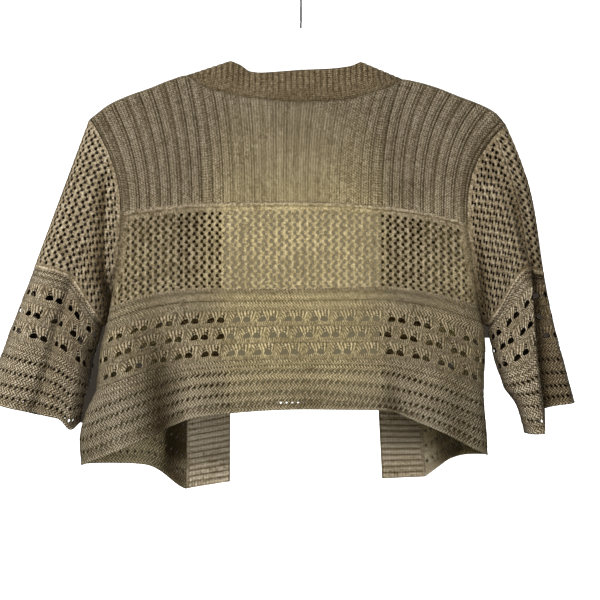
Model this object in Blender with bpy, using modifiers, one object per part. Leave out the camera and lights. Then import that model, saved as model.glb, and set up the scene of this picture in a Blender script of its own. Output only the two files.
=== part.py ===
"""Cropped open-front knitted shrug with elbow sleeves, hanging on a slim hanger.

The back faces -Y, the open front faces +Y and +X is the wearer's right. The origin is the
point inside the wire hook's crook where the hanger hangs. All tables are in millimetres:
x across, and drop, the distance below that point. Every panel is a knitted wall drawn by its
plain inner surface, with ribs and ridges raised on its outer side.
"""
import math
from collections import namedtuple

import bpy
import numpy as np

COLLECTION = "knitted_shrug"
MM = 0.001

# Cloth
WALL = 1.5               # plain knit
RELIEF = 1.0             # what a rib or a purl ridge adds
SEAM_GAP = 0.3           # between two sewn pieces
BAND_GAP = 0.9           # down the fronts, where its ribs differ from theirs
NECK_GAP = 2.3           # near the neck's corners, where the band leans away most
NECK_CORNER_GAP = 2.4    # where shoulder, neck and band seams meet on the fold
ARMHOLE_GAP = 2.0        # the seam lies in a valley, where walls lean together
UNDERARM_GAP = 4.5       # at its foot two side rolls face each other
OFF_CENTRE = -1.0        # the shrug hangs this far from the hook's line

# How far the cloth stands off the middle plane, below the fold over the shoulders
CAP_RADIUS = 3.6
SPREAD = 24.0
SPREAD_LENGTH = 180.0
NECK_SWELL = 6.0
NECK_SWELL_WIDTH = 100.0
SIDE_ROLL = 32.0
ARMHOLE_VALLEY = 1.6
VALLEY_WIDTH = 9.0

# Stitch columns. A rib takes two steps, a leaf hole one cell.
BACK_CELLS = 32
FRONT_CELLS = 9
SLEEVE_CELLS = 8
BAND_STEPS = 1
BAND_RIB = 7.2

# The fold along the shoulders, outer side: x, drop
SHOULDER_LEFT = ((-212, 128), (-192, 113), (-172, 104), (-152, 97), (-132, 89), (-114, 84))
SHOULDER_RIGHT = ((103, 88), (120, 91), (140, 97), (160, 105), (181, 113), (197, 121.5), (208, 134))
NECK_SEAM = ((-114, 84), (-108, 88), (-101, 93), (-86, 99), (-70, 103), (-50, 107.5), (-30, 109.5),
             (0, 111.5), (30, 110.5), (52, 108), (73, 101.5), (91, 95.5), (103, 88))
COLLAR_EDGE = ((-70, 69), (-60.5, 73), (-50, 80), (-40, 81.2), (-20, 80), (0, 78.4),
               (30, 77), (50, 74.4), (61.5, 70))
COLLAR_PEAK_LEFT, COLLAR_PEAK_RIGHT = COLLAR_EDGE[0], COLLAR_EDGE[-1]
BAND_FOOT_LEFT = (-72, 499)
BAND_FOOT_RIGHT = (84.5, 496)

# Rows of the back. Drops at the left edge, at five places across, and at the right edge.
BACK_STATIONS = (-150, -100, 0, 80, 130)
BackRow = namedtuple("BackRow", "name left_x left_drop a b c d e right_drop right_x")
BACK_ROWS = (
    BackRow("yoke_foot",  -180, 224, 220, 215.5, 214, 218, 225, 236, 168),
    BackRow("mesh_mid",   -183.5, 273, 264, 258.5, 258, 259, 266, 277, 173.5),
    BackRow("mesh_foot",  -193, 322, 308, 302, 302, 300, 306.5, 319, 181),
    BackRow("leaf_top",   -198.6, 345, 330, 324, 322, 322, 329.5, 349, 187.5),
    BackRow("leaf_one",   -202.7, 364, 346.5, 340.5, 338, 337.7, 346, 365, 188),
    BackRow("leaf_two",   -204.7, 384, 365, 357.5, 354.5, 354, 363, 383.5, 187),
    BackRow("leaf_foot",  -206.7, 402, 383, 374, 371, 371, 379, 402, 186.5),
    BackRow("eyelet_one", -218, 428, 401, 387.5, 383, 385, 396.5, 418.5, 187),
    BackRow("eyelet_two", -223.5, 454, 425, 409, 403.5, 410, 421, 447, 189.5),
    BackRow("hem",        -222, 479, 449, 428.5, 421.5, 422, 439, 469, 190.5),
)
# Rows of the fronts, from the side seam they share with the back to the band
FrontRow = namedtuple("FrontRow", "name left_mid left_band right_mid right_band")
FRONT_ROWS = (
    FrontRow("yoke_foot",  240, 262, 242, 258),
    FrontRow("mesh_mid",   286, 304, 286, 299),
    FrontRow("mesh_foot",  332, 347, 330, 341),
    FrontRow("leaf_top",   354, 368, 352, 361),
    FrontRow("leaf_one",   370, 385, 369, 378),
    FrontRow("leaf_two",   387, 403, 386, 396),
    FrontRow("leaf_foot",  404, 420, 403, 413),
    FrontRow("eyelet_one", 426, 441, 422, 433),
    FrontRow("eyelet_two", 454, 472, 448, 463),
    FrontRow("hem",        482, 506, 474, 494),
)
FRONT_MID_LEFT, BAND_SEAM_LEFT = -160, (-114, -117)
FRONT_MID_RIGHT, BAND_SEAM_RIGHT = 156, (103, 129)
# The fronts' edges bow apart: how far right of a straight line, by the mm below the shoulder
EDGE_BOW = {
    "left": ((0, 0), (20, -4), (43, -7.5), (73, -10.8), (120, -10), (190, -9), (240, -8), (270, -5.5),
             (300, -2.5), (335, 0)),
    "right": ((0, 0), (15, 5.5), (30, 10.5), (45, 14.5), (70, 17), (130, 14.7), (192, 11.7), (260, 7),
              (330, 1.2), (360, 0)),
}

# Rows of the sleeves below the armhole: the fold over the arm, the middle and the underarm
SleeveRow = namedtuple("SleeveRow", "name over_x over_drop mid_x mid_drop under_x under_drop")
SLEEVE_ROWS = {
    "left": (
        SleeveRow("mesh_foot",  -269.5, 279.6, -234.5, 289, -199, 338),
        SleeveRow("leaf_top",   -274.6, 293.8, -235, 305, -201.5, 346),
        SleeveRow("leaf_one",   -281.7, 312, -236, 326, -204.5, 357),
        SleeveRow("leaf_two",   -288.8, 330.2, -237, 347.5, -211.8, 371),
        SleeveRow("leaf_foot",  -295.9, 348.5, -238, 368, -214, 387),
        SleeveRow("eyelet_one", -302.5, 366.7, -239, 384, -215.5, 399.5),
        SleeveRow("eyelet_two", -314.1, 393.1, -243, 409, -219, 418.4),
        SleeveRow("hem",        -322.2, 413.3, -244, 430, -222, 433.6),
    ),
    "right": (
        SleeveRow("mesh_foot",  247.8, 287.7, 230, 283, 189.5, 338),
        SleeveRow("leaf_top",   248.8, 296.8, 231, 299, 190.5, 346),
        SleeveRow("leaf_one",   253.3, 317.6, 232, 322, 193.5, 357),
        SleeveRow("leaf_two",   257.9, 337.3, 233, 344, 196, 371),
        SleeveRow("leaf_foot",  262.4, 355.6, 234.5, 366, 201.7, 387),
        SleeveRow("eyelet_one", 267, 371.8, 236, 389, 205.7, 399),
        SleeveRow("eyelet_two", 273.6, 397.6, 239, 418, 218.9, 418.4),
        SleeveRow("hem",        278.7, 416, 243, 446, 227, 446),
    ),
}
# The right sleeve is folded down its middle: the drops of its rows just outside that fold
FOLD_DROPS = (284, 297.5, 319, 339, 356.5, 372.5, 399.5, 421.5)
FOLD_STEP = 2.6
# How far a sleeve's front stands past its underarm seam, towards the body, row by row
UNDERARM_BULGE = {"left": (1, 3, 6.5, 10, 10.5, 8.5, 4, 1), "right": (-4, -4, -2, 0, 0, 0, 0, 0)}
HEM_LOBE_X, HEM_LOBE_WIDTH, HEM_LOBE_DROP = -231.5, 6.5, 10.0   # at the left sleeve's hem
SLEEVE_CAP = {"left": 0.0, "right": 7.4}     # how far the fold over the arm rounds outwards
SLEEVE_DEPTH = (19, 20, 21, 22, 22.5, 23, 23.5, 24)
SLEEVE_SWELL = 5.0       # how far the sleeve's head stands past a straight run
# How full a sleeve's back stands, from the fold over the arm (0) to the underarm (1)
SLEEVE_BACK_FILL = {
    "left": ((0, 0), (0.1, 0.62), (0.3, 1.05), (0.46, 0.96), (0.58, 0.62), (0.7, 1.0), (0.88, 0.72), (1, 0)),
    "outside fold": ((0, 0), (0.15, 0.42), (0.6, 0.4), (1, 0.38)),
    "inside fold": ((0, 1.02), (0.35, 1.1), (0.8, 0.8), (1, 0)),
}
SLEEVE_FRONT_FILL = ((0, 0), (0.1, 0.6), (0.3, 1.0), (0.5, 0.85), (0.7, 1.05), (0.9, 0.65), (1, 0))
SLEEVE_FRONT_SAG = 6.0

# The armhole's points, as rows of the back: where the sleeve's columns start
ARMHOLE_ROWS = (0, 0.033, 0.08, 0.16, 0.34, 0.5, 0.66, 0.83, 1.0, 1.2, 1.4, 1.6, 2.0, 2.5, 3.0, 3.25, 3.5)
ARMHOLE_START_DROP = 262.0
ARMPIT_DROP = 334.0

# The largest soft folds: foot and head of each line, how wide, and how far it stands out
Fold = namedtuple("Fold", "panel head_x head_drop foot_x foot_drop width height")
FOLDS = (
    Fold("back", -152, 300, -138, 448, 14, -9),
    Fold("back", -184, 290, -178, 470, 15, 5),
    Fold("back", -112, 310, -104, 430, 16, 5),
    Fold("back", 92, 360, 94, 430, 9, -5),
    Fold("back", 118, 330, 124, 440, 16, 4),
    Fold("back", 158, 300, 160, 460, 12, -4),
    Fold("back", 10, 300, 6, 422, 18, -3),
    Fold("front_left", -136, 330, -128, 500, 12, -11),
    Fold("front_left", -170, 310, -172, 482, 16, 5),
    Fold("front_right", 142, 330, 150, 480, 12, -10),
    Fold("front_right", 170, 320, 174, 470, 12, 5),
)

# Hanger and hook
HANGER_THICK = 6.0
HANGER_DEPTH = 15.0
HANGER_TIP = 10.0
HANGER_ROUND = 2.7
HANGER_LEFT, HANGER_RIGHT = -201.0, 197.0
HANGER_SEAT = 0.6
HANGER_NECK_DROP = 93.0
HANGER_NECK_REACH = 9.0  # the neck starts this far out along each shoulder
HOOK_WIRE = 1.1
HOOK_RADIUS = 20.0
HOOK_TIP_DROP = 34.0
HOOK_BEND_DROP = 60.0

# Rows that the walls are lofted through, in the tables' numbering (0 is the shoulder fold)
YOKE_STEPS = (0, 0.0044, 0.0164, 0.034, 0.12, 0.34, 0.66, 1.0)
FRONT_YOKE_STEPS = (0, 0.0044, 0.0164, 0.034, 0.08, 0.13, 0.19, 0.27, 0.38, 0.56, 0.78, 1.0)
LOWER_STEPS = (1.0, 1.2, 1.6, 2.0, 2.5, 3.0, 3.5, 4, 5, 6, 7, 8, 9, 10)
SLEEVE_HEAD_STEPS = (0, 0.12, 0.3, 0.5, 0.75, 1.0)
SLEEVE_LOWER_STEPS = (1.0, 2, 3, 4, 5, 6, 7, 8)
LEAF_HOLE = ((0.12, 0.44), (0.70, 0.30), (0.74, 0.60), (0.22, 0.66))   # across, down, in a cell


# ---------------------------------------------------------------- curves

def mix(a, b, share):
    return a + (b - a) * share


def ease(value):
    value = np.clip(value, 0.0, 1.0)
    return value * value * (3.0 - 2.0 * value)


def smooth(at, xs, ys):
    """Reads at `at` the monotone cubic curve through the points (xs, ys)."""
    at, xs, ys = np.asarray(at, float), np.asarray(xs, float), np.asarray(ys, float)
    step = np.diff(xs)
    slope = np.diff(ys) / step
    tangent = np.concatenate(([slope[0]], np.zeros(len(xs) - 2), [slope[-1]]))
    product = slope[:-1] * slope[1:]
    rising = product > 0
    total = np.where(rising, slope[:-1] + slope[1:], 1.0)
    tangent[1:-1] = np.where(rising, 2.0 * product / total, 0.0)
    piece = np.clip(np.searchsorted(xs, at, side="right") - 1, 0, len(step) - 1)
    u = np.clip((at - xs[piece]) / step[piece], 0.0, 1.0)
    start, end = ys[piece], ys[piece + 1]
    lead, tail = tangent[piece] * step[piece], tangent[piece + 1] * step[piece]
    return (start * (1 + 2 * u) * (1 - u) ** 2 + lead * u * (1 - u) ** 2
            + end * u * u * (3 - 2 * u) + tail * u * u * (u - 1))


def along(line, x):
    xs, drops = zip(*line)
    return smooth(x, xs, drops)


def evenly(points, shares):
    """Points of a polyline at the given shares of its length."""
    length = np.concatenate(([0], np.cumsum(np.linalg.norm(np.diff(points, axis=0), axis=1))))
    wanted = np.asarray(shares) * length[-1]
    return np.stack([np.interp(wanted, length, points[:, i]) for i in range(3)], axis=1)


FINE = np.linspace(0, 1, 241)


# ---------------------------------------------------------------- how the cloth hangs

def ridge(x):
    """Drop of the fold over the shoulders and the collar's peaks, inner side."""
    collar = np.interp(x, (SHOULDER_LEFT[-1][0], COLLAR_PEAK_LEFT[0], COLLAR_PEAK_RIGHT[0],
                           SHOULDER_RIGHT[0][0]),
                       (SHOULDER_LEFT[-1][1], COLLAR_PEAK_LEFT[1], COLLAR_PEAK_RIGHT[1],
                        SHOULDER_RIGHT[0][1]))
    left, right = along(SHOULDER_LEFT, x), along(SHOULDER_RIGHT, x)
    drop = np.where(x < SHOULDER_LEFT[-1][0], left, np.where(x > SHOULDER_RIGHT[0][0], right, collar))
    return drop + WALL


def stand_off(x, drop):
    """Distance from the middle plane to the cloth's inner side."""
    below = np.maximum(drop - ridge(x), 0.0)
    rise = np.clip(1.0 - below / CAP_RADIUS, 0.0, 1.0)
    return CAP_RADIUS * np.sqrt(1.0 - rise ** 2) + SPREAD * (1.0 - np.exp(-below / SPREAD_LENGTH))


def neck_swell(x, drop):
    """The back neck sags away from the hanger."""
    across = np.clip(1.0 - (x / NECK_SWELL_WIDTH) ** 2, 0.0, 1.0)
    return NECK_SWELL * across * ease((drop - 72.0) / 35.0) * (1.0 - ease((drop - 130.0) / 170.0))


def edge_share(x, drop, edge_x, edge_drop):
    """1 inside the panel, falling to 0 at a side seam; an armhole edge keeps its stand-off."""
    closed = ease((edge_drop - ARMHOLE_START_DROP) / (ARMPIT_DROP - ARMHOLE_START_DROP))
    near = np.clip(np.abs(x - edge_x) / SIDE_ROLL, 0.0, 1.0)
    return 1.0 - closed * (1.0 - np.sqrt(1.0 - (1.0 - near) ** 2))


def armhole_valley(x, drop, edge_x, edge_drop):
    """The seam between sleeve and body lies in a soft valley."""
    hanging = ease((drop - ridge(edge_x) - 8.0) / 60.0)
    open_part = 1.0 - ease((edge_drop - ARMHOLE_START_DROP) / (ARMPIT_DROP - ARMHOLE_START_DROP))
    return ARMHOLE_VALLEY * hanging * open_part * np.exp(-((x - edge_x) / VALLEY_WIDTH) ** 2)


def folds(panel, x, drop):
    total = np.zeros_like(x)
    for fold in FOLDS:
        if fold.panel == panel:
            share = (drop - fold.head_drop) / (fold.foot_drop - fold.head_drop)
            centre = mix(fold.head_x, fold.foot_x, share)
            total = total + fold.height * ease(share) * np.exp(-((x - centre) / fold.width) ** 2)
    return total


# ---------------------------------------------------------------- rows of the body

def table_value(rows, field, row):
    return float(smooth(row, range(1, len(rows) + 1), [getattr(r, field) for r in rows]))


def body_edges(row):
    """x and drop of the back's left and right edges at a row of the tables."""
    if row < 1.0:
        foot = body_edges(1.0)
        top = (SHOULDER_LEFT[0], SHOULDER_RIGHT[-1])
        lean = (1 - (1 - row) ** 2.0, 1 - (1 - row) ** 2.9)
        return tuple((mix(top[i][0], foot[i][0], lean[i]), mix(top[i][1] + WALL, foot[i][1], row))
                     for i in range(2))
    inset = WALL * float(ease((row - 2.0) / 1.5))
    left = (table_value(BACK_ROWS, "left_x", row) + inset, table_value(BACK_ROWS, "left_drop", row))
    right = (table_value(BACK_ROWS, "right_x", row) - inset, table_value(BACK_ROWS, "right_drop", row))
    return left, right


def back_depth(x, drop, left, right):
    depth = stand_off(x, drop) + neck_swell(x, drop) + folds("back", x, drop)
    share = edge_share(x, drop, *left) * edge_share(x, drop, *right)
    return depth * share - armhole_valley(x, drop, *left) - armhole_valley(x, drop, *right)


def back_row(row, shares):
    """Inner-side points (x, y, drop) of the back at a row, at shares of its width."""
    shares = np.asarray(shares, float)
    left, right = body_edges(row)
    if row >= 1.0:
        x = mix(left[0], right[0], FINE)
        stations = (left[0],) + BACK_STATIONS + (right[0],)
        fields = ("left_drop", "a", "b", "c", "d", "e", "right_drop")
        drop = smooth(x, stations, [table_value(BACK_ROWS, field, row) for field in fields])
        line = np.stack([x, -back_depth(x, drop, left, right), drop], axis=1)
        return evenly(line, shares)
    foot = back_row(1.0, shares)
    top_x = mix(SHOULDER_LEFT[0][0], SHOULDER_RIGHT[-1][0], shares)
    top_line = SHOULDER_LEFT + NECK_SEAM[1:-1] + SHOULDER_RIGHT
    x = mix(top_x, foot[:, 0], 1 - (1 - row) ** mix(2.0, 2.9, shares))
    drop = mix(along(top_line, top_x) + WALL, foot[:, 2], row)
    on_fold = (top_x < NECK_SEAM[0][0] + 0.5) | (top_x > NECK_SEAM[-1][0] - 0.5)
    below = np.where(on_fold, drop - along(top_line, top_x) - WALL, drop - ridge(x))
    depth = back_depth(x, np.where(on_fold, ridge(x) + below, drop), left, right)
    return np.stack([x, -depth, drop], axis=1)


def band_share(side, drop):
    """How far down a front's band seam a drop is, 0 at the shoulder and 1 at the hem."""
    top = (SHOULDER_LEFT[-1] if side == "left" else SHOULDER_RIGHT[0])[1] + WALL
    return (drop - top) / (table_value(FRONT_ROWS, side + "_band", len(FRONT_ROWS)) - top)


def front_row(side, row, shares):
    """The same for a front, from its side or armhole edge (0) to the band's seam (1)."""
    shares = np.asarray(shares, float)
    index = 0 if side == "left" else 1
    edge = body_edges(row)[index]
    band_x = (BAND_SEAM_LEFT, BAND_SEAM_RIGHT)[index]
    shoulder = (SHOULDER_LEFT, SHOULDER_RIGHT[::-1])[index]
    panel = "front_" + side
    seam_drop = table_value(FRONT_ROWS, side + "_band", max(row, 1.0))
    seam_x = mix(band_x[0], band_x[1], band_share(side, seam_drop))

    def depth(x, drop):
        full = stand_off(x, drop) + folds(panel, x, drop)
        return full * edge_share(x, drop, *edge) - armhole_valley(x, drop, *edge)

    def fold_drop(spread):
        return along(sorted(shoulder), mix(shoulder[0][0], shoulder[-1][0], spread)) + WALL

    if row >= 1.0:
        x = mix(edge[0], seam_x, FINE)
        middle = (FRONT_MID_LEFT, FRONT_MID_RIGHT)[index]
        drops = (edge[1], table_value(FRONT_ROWS, side + "_mid", row),
                 table_value(FRONT_ROWS, side + "_band", row))
        order = (edge[0], middle, seam_x)
        if side == "right":
            drop = smooth(-x, [-value for value in order], drops)
        else:
            drop = smooth(x, order, drops)
        x = x + along(EDGE_BOW[side], drop - fold_drop(FINE)) * FINE
        return evenly(np.stack([x, depth(x, drop), drop], axis=1), shares)
    foot = front_row(side, 1.0, shares)
    top_x = mix(shoulder[0][0], shoulder[-1][0], shares)
    top_drop = fold_drop(shares)
    spread = 1 - (1 - row) ** mix((2.0, 2.9)[index], 1.0, shares)
    drop = mix(top_drop, foot[:, 2], row)
    bow = along(EDGE_BOW[side], drop - top_drop) - along(EDGE_BOW[side], foot[:, 2] - top_drop) * spread
    x = mix(top_x, foot[:, 0], spread) + bow * shares
    return np.stack([x, depth(x, ridge(x) + drop - top_drop), drop], axis=1)


# ---------------------------------------------------------------- rows of the sleeves

def armhole_point_rows(side, face):
    """The armhole's points, from the shoulder (0) to the underarm (1)."""
    points = []
    for row in ARMHOLE_ROWS:
        if face == "back":
            point = back_row(row, [0.0 if side == "left" else 1.0])[0]
        else:
            point = front_row(side, row, [0.0])[0]
        points.append(point)
    points = np.array(points)
    gap = mix(ARMHOLE_GAP, UNDERARM_GAP, ease((np.array(ARMHOLE_ROWS) - 1.0) / 2.5))
    points[:, 0] += -gap if side == "left" else gap
    points[-1, 1] = 0.0
    return points


def sleeve_ring(side, face, row, shares):
    """Inner-side points of a sleeve row below the armhole, over the arm (0) to under it (1)."""
    rows = SLEEVE_ROWS[side]
    over_x, over_drop, mid_x, mid_drop, under_x, under_drop = (
        table_value(rows, field, row) for field in SleeveRow._fields[1:])
    depth = float(smooth(row, range(1, len(rows) + 1), SLEEVE_DEPTH))
    inward = WALL if side == "left" else -WALL
    over_x, under_x = over_x + inward, under_x - inward
    spread = mix(FINE, (1 - np.cos(math.pi * FINE)) / 2, 0.5)
    x = mix(over_x, under_x, spread)
    middle = (mid_x - over_x) / (under_x - over_x)
    if side == "right":
        fold_drop = float(smooth(row, range(1, len(rows) + 1), FOLD_DROPS))
        outside = middle - FOLD_STEP / abs(under_x - over_x)
        drop = smooth(spread, (0, outside, middle, 1), (over_drop, fold_drop, mid_drop, under_drop))
        step = ease((spread - outside) / (middle - outside))
        fill = mix(along(SLEEVE_BACK_FILL["outside fold"], spread / middle),
                   along(SLEEVE_BACK_FILL["inside fold"], (spread - middle) / (1 - middle)), step)
    else:
        drop = smooth(spread, (0, middle, 1), (over_drop, mid_drop, under_drop))
        lobe = np.exp(-((x - HEM_LOBE_X) / HEM_LOBE_WIDTH) ** 2)
        drop = drop + HEM_LOBE_DROP * lobe * float(ease((row - 5.0) / 3.0))
        fill = along(SLEEVE_BACK_FILL[side], spread)
    if face == "front":
        if side == "left":
            drop = mix(over_drop, under_drop, spread) + SLEEVE_FRONT_SAG * np.sin(math.pi * spread)
        fill = along(SLEEVE_FRONT_FILL, spread)
        bulge = float(smooth(row, range(1, len(rows) + 1), UNDERARM_BULGE[side]))
        x = x + bulge * np.sin(math.pi * np.clip((spread - 0.74) / 0.26, 0, 1))
    rounded = np.sqrt(np.clip(1 - np.abs(2 * spread - 1) ** 5, 0, 1))
    line = np.stack([x, depth * mix(rounded, fill, float(ease(row - 0.5))), drop], axis=1)
    if face == "back":
        line[:, 1] *= -1
    return evenly(line, shares)


def sleeve_cap(side, row, shares):
    """How far right a sleeve's cap is pushed, from the armhole (0) to its first whole row (1)."""
    return SLEEVE_CAP[side] * np.clip(np.sin(math.pi * row ** 0.8), 0, 1) ** 1.3 * (1 - shares) ** 2


def sleeve_row(side, face, row, shares):
    shares = np.asarray(shares, float)
    if row >= 1.0:
        return sleeve_ring(side, face, row, shares)
    start = armhole_point_rows(side, face)
    places = np.linspace(0, 1, len(start))
    hole = np.stack([np.interp(shares, places, start[:, i]) for i in range(3)], axis=1)
    points = mix(hole, sleeve_ring(side, face, 1.0, shares), row)
    facing = -1 if face == "back" else 1
    points[:, 0] += sleeve_cap(side, row, shares)
    points[:, 1] += facing * SLEEVE_SWELL * math.sin(math.pi * row) * np.sin(math.pi * shares) ** 1.5
    return points


# ---------------------------------------------------------------- rows of the band

def band_front_line(side, across):
    """The band down one front at a share of its width (0 seam, 1 edge), foot to shoulder fold."""
    foot, peak = ((BAND_FOOT_LEFT, COLLAR_PEAK_LEFT) if side == "left"
                  else (BAND_FOOT_RIGHT, COLLAR_PEAK_RIGHT))
    sign = 1 if side == "left" else -1
    rise = FINE ** 2
    seam_x, seam_drop = ((BAND_SEAM_LEFT, (SHOULDER_LEFT[-1][1], FRONT_ROWS[-1].left_band))
                         if side == "left" else
                         (BAND_SEAM_RIGHT, (SHOULDER_RIGHT[0][1], FRONT_ROWS[-1].right_band)))
    start_x = mix(seam_x[0] + sign * NECK_CORNER_GAP, peak[0], across)
    end_x = mix(seam_x[1] + sign * BAND_GAP, foot[0], across)
    x = mix(start_x, end_x, rise)
    fold = mix(seam_drop[0], peak[1], across) + WALL
    drop = mix(fold, mix(seam_drop[1], foot[1], across), rise)
    x = x + along(EDGE_BOW[side], drop - fold)
    drop = np.maximum(drop, ridge(x))
    y = stand_off(x, drop) + folds("front_" + side, x, drop)
    return np.stack([x, y, drop], axis=1)[::-1]


def band_back_line(across):
    """The band round the back neck, left shoulder fold to right."""
    turn = (1 - np.cos(math.pi * FINE)) / 2
    seam_x = mix(NECK_SEAM[0][0] + NECK_CORNER_GAP, NECK_SEAM[-1][0] - NECK_CORNER_GAP, turn)
    edge_x = mix(COLLAR_PEAK_LEFT[0], COLLAR_PEAK_RIGHT[0], turn)
    x = mix(seam_x, edge_x, across)
    gap = mix(BAND_GAP, NECK_GAP, ease(np.abs(2 * turn - 1) * 2 - 1))
    drop = mix(along(NECK_SEAM, seam_x) - gap, along(COLLAR_EDGE, edge_x), across) + WALL
    drop = np.maximum(drop, ridge(x))
    drop[[0, -1]] = ridge(x[[0, -1]])
    return np.stack([x, -stand_off(x, drop) - neck_swell(x, drop), drop], axis=1)


def band_rows():
    """Rows of the band's points across its width, two along each rib."""
    widths = np.linspace(0, 1, BAND_STEPS + 1)
    runs = ([band_front_line("left", width) for width in widths],
            [band_back_line(width) for width in widths],
            [band_front_line("right", width)[::-1] for width in widths])
    rows = []
    for run in runs:
        middle = run[len(run) // 2]
        length = np.linalg.norm(np.diff(middle, axis=0), axis=1).sum()
        steps = 2 * round(length / BAND_RIB)
        shares = np.linspace(0, 1, steps + 1)
        lines = np.stack([evenly(line, shares) for line in run], axis=1)
        rows.extend(lines if not rows else lines[1:])
    return rows


# ---------------------------------------------------------------- objects

def make_material(name, colour, roughness, metallic=0.0):
    material = bpy.data.materials.new(name)
    material.use_nodes = True
    shader = material.node_tree.nodes["Principled BSDF"]
    shader.inputs["Base Color"].default_value = (*colour, 1.0)
    shader.inputs["Roughness"].default_value = roughness
    shader.inputs["Metallic"].default_value = metallic
    material.diffuse_color = (*colour, 1.0)
    return material


def leaf_side(column, phase):
    """Which edge of a cell its pair of leaf holes is centred on: -1 left, 1 right."""
    return -1 if column % 2 == phase else 1


def leaf_faces(points, corners, side, faces):
    """A lace cell: four faces round a hole whose narrow end points at the pair's centre."""
    top_left, top_right, foot_right, foot_left = (np.array(points[i]) for i in corners)
    ring = []
    for across, down in LEAF_HOLE:
        share = across if side < 0 else 1.0 - across
        point = mix(mix(top_left, top_right, share), mix(foot_left, foot_right, share), down)
        ring.append(len(points))
        points.append(point)
    if side > 0:
        ring = [ring[1], ring[0], ring[3], ring[2]]
    for i in range(4):
        following = (i + 1) % 4
        faces.append((corners[i], ring[i], ring[following], corners[following]))


def knit_faces(rows, leaf_bands, keep_edge_pairs):
    """Points and faces of a sheet through rows; a row may have half the steps of the one above.

    leaf_bands gives, for a band of cells under a row, on which columns its hole pairs are centred.
    """
    points, faces, starts = [], [], []
    for row in rows:
        starts.append(len(points))
        points.extend(row)
    for band, (upper, lower) in enumerate(zip(rows, rows[1:])):
        cells = len(lower) - 1
        ratio = (len(upper) - 1) // cells
        for column in range(cells):
            top = [starts[band] + column * ratio + i for i in range(ratio + 1)]
            foot = (starts[band + 1] + column, starts[band + 1] + column + 1)
            if band in leaf_bands:
                side = leaf_side(column, leaf_bands[band])
                centre = column if side < 0 else column + 1
                if keep_edge_pairs or 0 < centre < cells:
                    leaf_faces(points, (top[0], top[1], foot[1], foot[0]), side, faces)
                    continue
            faces.append((*foot, *reversed(top)))
    return points, faces


def add_sheet(name, rows, levels, material, outward_flip, leaf_bands=None, keep_edge_pairs=False):
    """A knitted wall on the inner-side rows, with `levels` of relief on its outer side."""
    points, faces = knit_faces(rows, leaf_bands or {}, keep_edge_pairs)
    if outward_flip:
        faces = [tuple(reversed(face)) for face in faces]
    place = np.array(points)
    vertices = np.stack([place[:, 0] + OFF_CENTRE, place[:, 1], -place[:, 2]], axis=1) * MM
    mesh = bpy.data.meshes.new(name)
    mesh.from_pydata(vertices.tolist(), [], faces)
    mesh.materials.append(material)
    sheet = bpy.data.objects.new(name, mesh)
    bpy.data.collections[COLLECTION].objects.link(sheet)
    relief = sheet.vertex_groups.new(name="relief")
    flat_levels = np.concatenate([np.broadcast_to(level, len(row)) for row, level in zip(rows, levels)])
    for index, level in enumerate(flat_levels):
        if level > 0:
            relief.add([index], float(level), "REPLACE")
    wall = sheet.modifiers.new("wall", "SOLIDIFY")
    wall.thickness = (WALL + RELIEF) * MM
    wall.offset = 1.0
    wall.vertex_group = relief.name
    wall.thickness_vertex_group = WALL / (WALL + RELIEF)
    return sheet


def rib_levels(steps):
    """Relief of a ribbed row: every second point stands out."""
    return np.arange(steps + 1) % 2


def fade_ends(level, steps):
    """The same relief along a row, but plain at both seams."""
    line = np.full(steps + 1, level)
    line[[0, -1]] = 0.0
    return line


def body_levels(rows_below):
    """Relief of the plain rows: purl ridges at the yoke's and the mesh's foot, and at the hem."""
    ridges = {1.0: 0.9, 3.0: 0.9, 3.5: 0.8, 8: 0.5, 9: 0.5, 10: 0.9}
    return [ridges.get(row, 0.15) for row in rows_below]


LEAF_STEPS = {4: 0, 5: 1, 6: 0}


def body_panel(name, reader, yoke_steps, cells, material, outward_flip, phase):
    fine = np.linspace(0, 1, 2 * cells + 1)
    coarse = np.linspace(0, 1, cells + 1)
    rows = [reader(row, fine) for row in yoke_steps[:-1]]
    levels = [rib_levels(2 * cells) if row > 0 else 0.0 for row in yoke_steps[:-1]]
    leaf_bands = {}
    for row in LOWER_STEPS:
        if row in LEAF_STEPS:
            leaf_bands[len(rows)] = (LEAF_STEPS[row] + phase) % 2
        rows.append(reader(row, coarse))
    levels += [fade_ends(level, cells) for level in body_levels(LOWER_STEPS)]
    return add_sheet(name, part_seams(rows), levels, material, outward_flip, leaf_bands)


def part_seams(rows):
    """Keeps the folds and side seams half a seam gap off the middle plane."""
    facing = math.copysign(1.0, np.mean([row[:, 1].mean() for row in rows]))
    parted = []
    for row in rows:
        row = row.copy()
        row[:, 1] = facing * np.maximum(facing * row[:, 1], SEAM_GAP / 2)
        parted.append(row)
    return parted


def sleeve_panel(side, face, material):
    fine = np.linspace(0, 1, 2 * SLEEVE_CELLS + 1)
    coarse = np.linspace(0, 1, SLEEVE_CELLS + 1)
    rows = [sleeve_row(side, face, row, fine) for row in SLEEVE_HEAD_STEPS[:-1]]
    levels = [0.15 for _ in rows]
    leaf_bands = {}
    for row in SLEEVE_LOWER_STEPS:
        if 2 <= row <= 4:
            leaf_bands[len(rows)] = (row + 1) % 2
        rows.append(sleeve_row(side, face, row, coarse))
        levels.append({1.0: 0.9, 2: 0.5, 6: 0.5, 7: 0.5, 8: 0.9}.get(row, 0.15))
    flip = (face == "front") != (side == "right")
    name = "sleeve_" + side + "_" + face
    return add_sheet(name, part_seams(rows), levels, material, flip, leaf_bands, keep_edge_pairs=True)


def add_band(material):
    rows = band_rows()
    levels = [np.array([0.0, 1.0]) * (index % 2) for index in range(len(rows))]
    return add_sheet("band", rows, levels, material, outward_flip=False)


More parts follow.
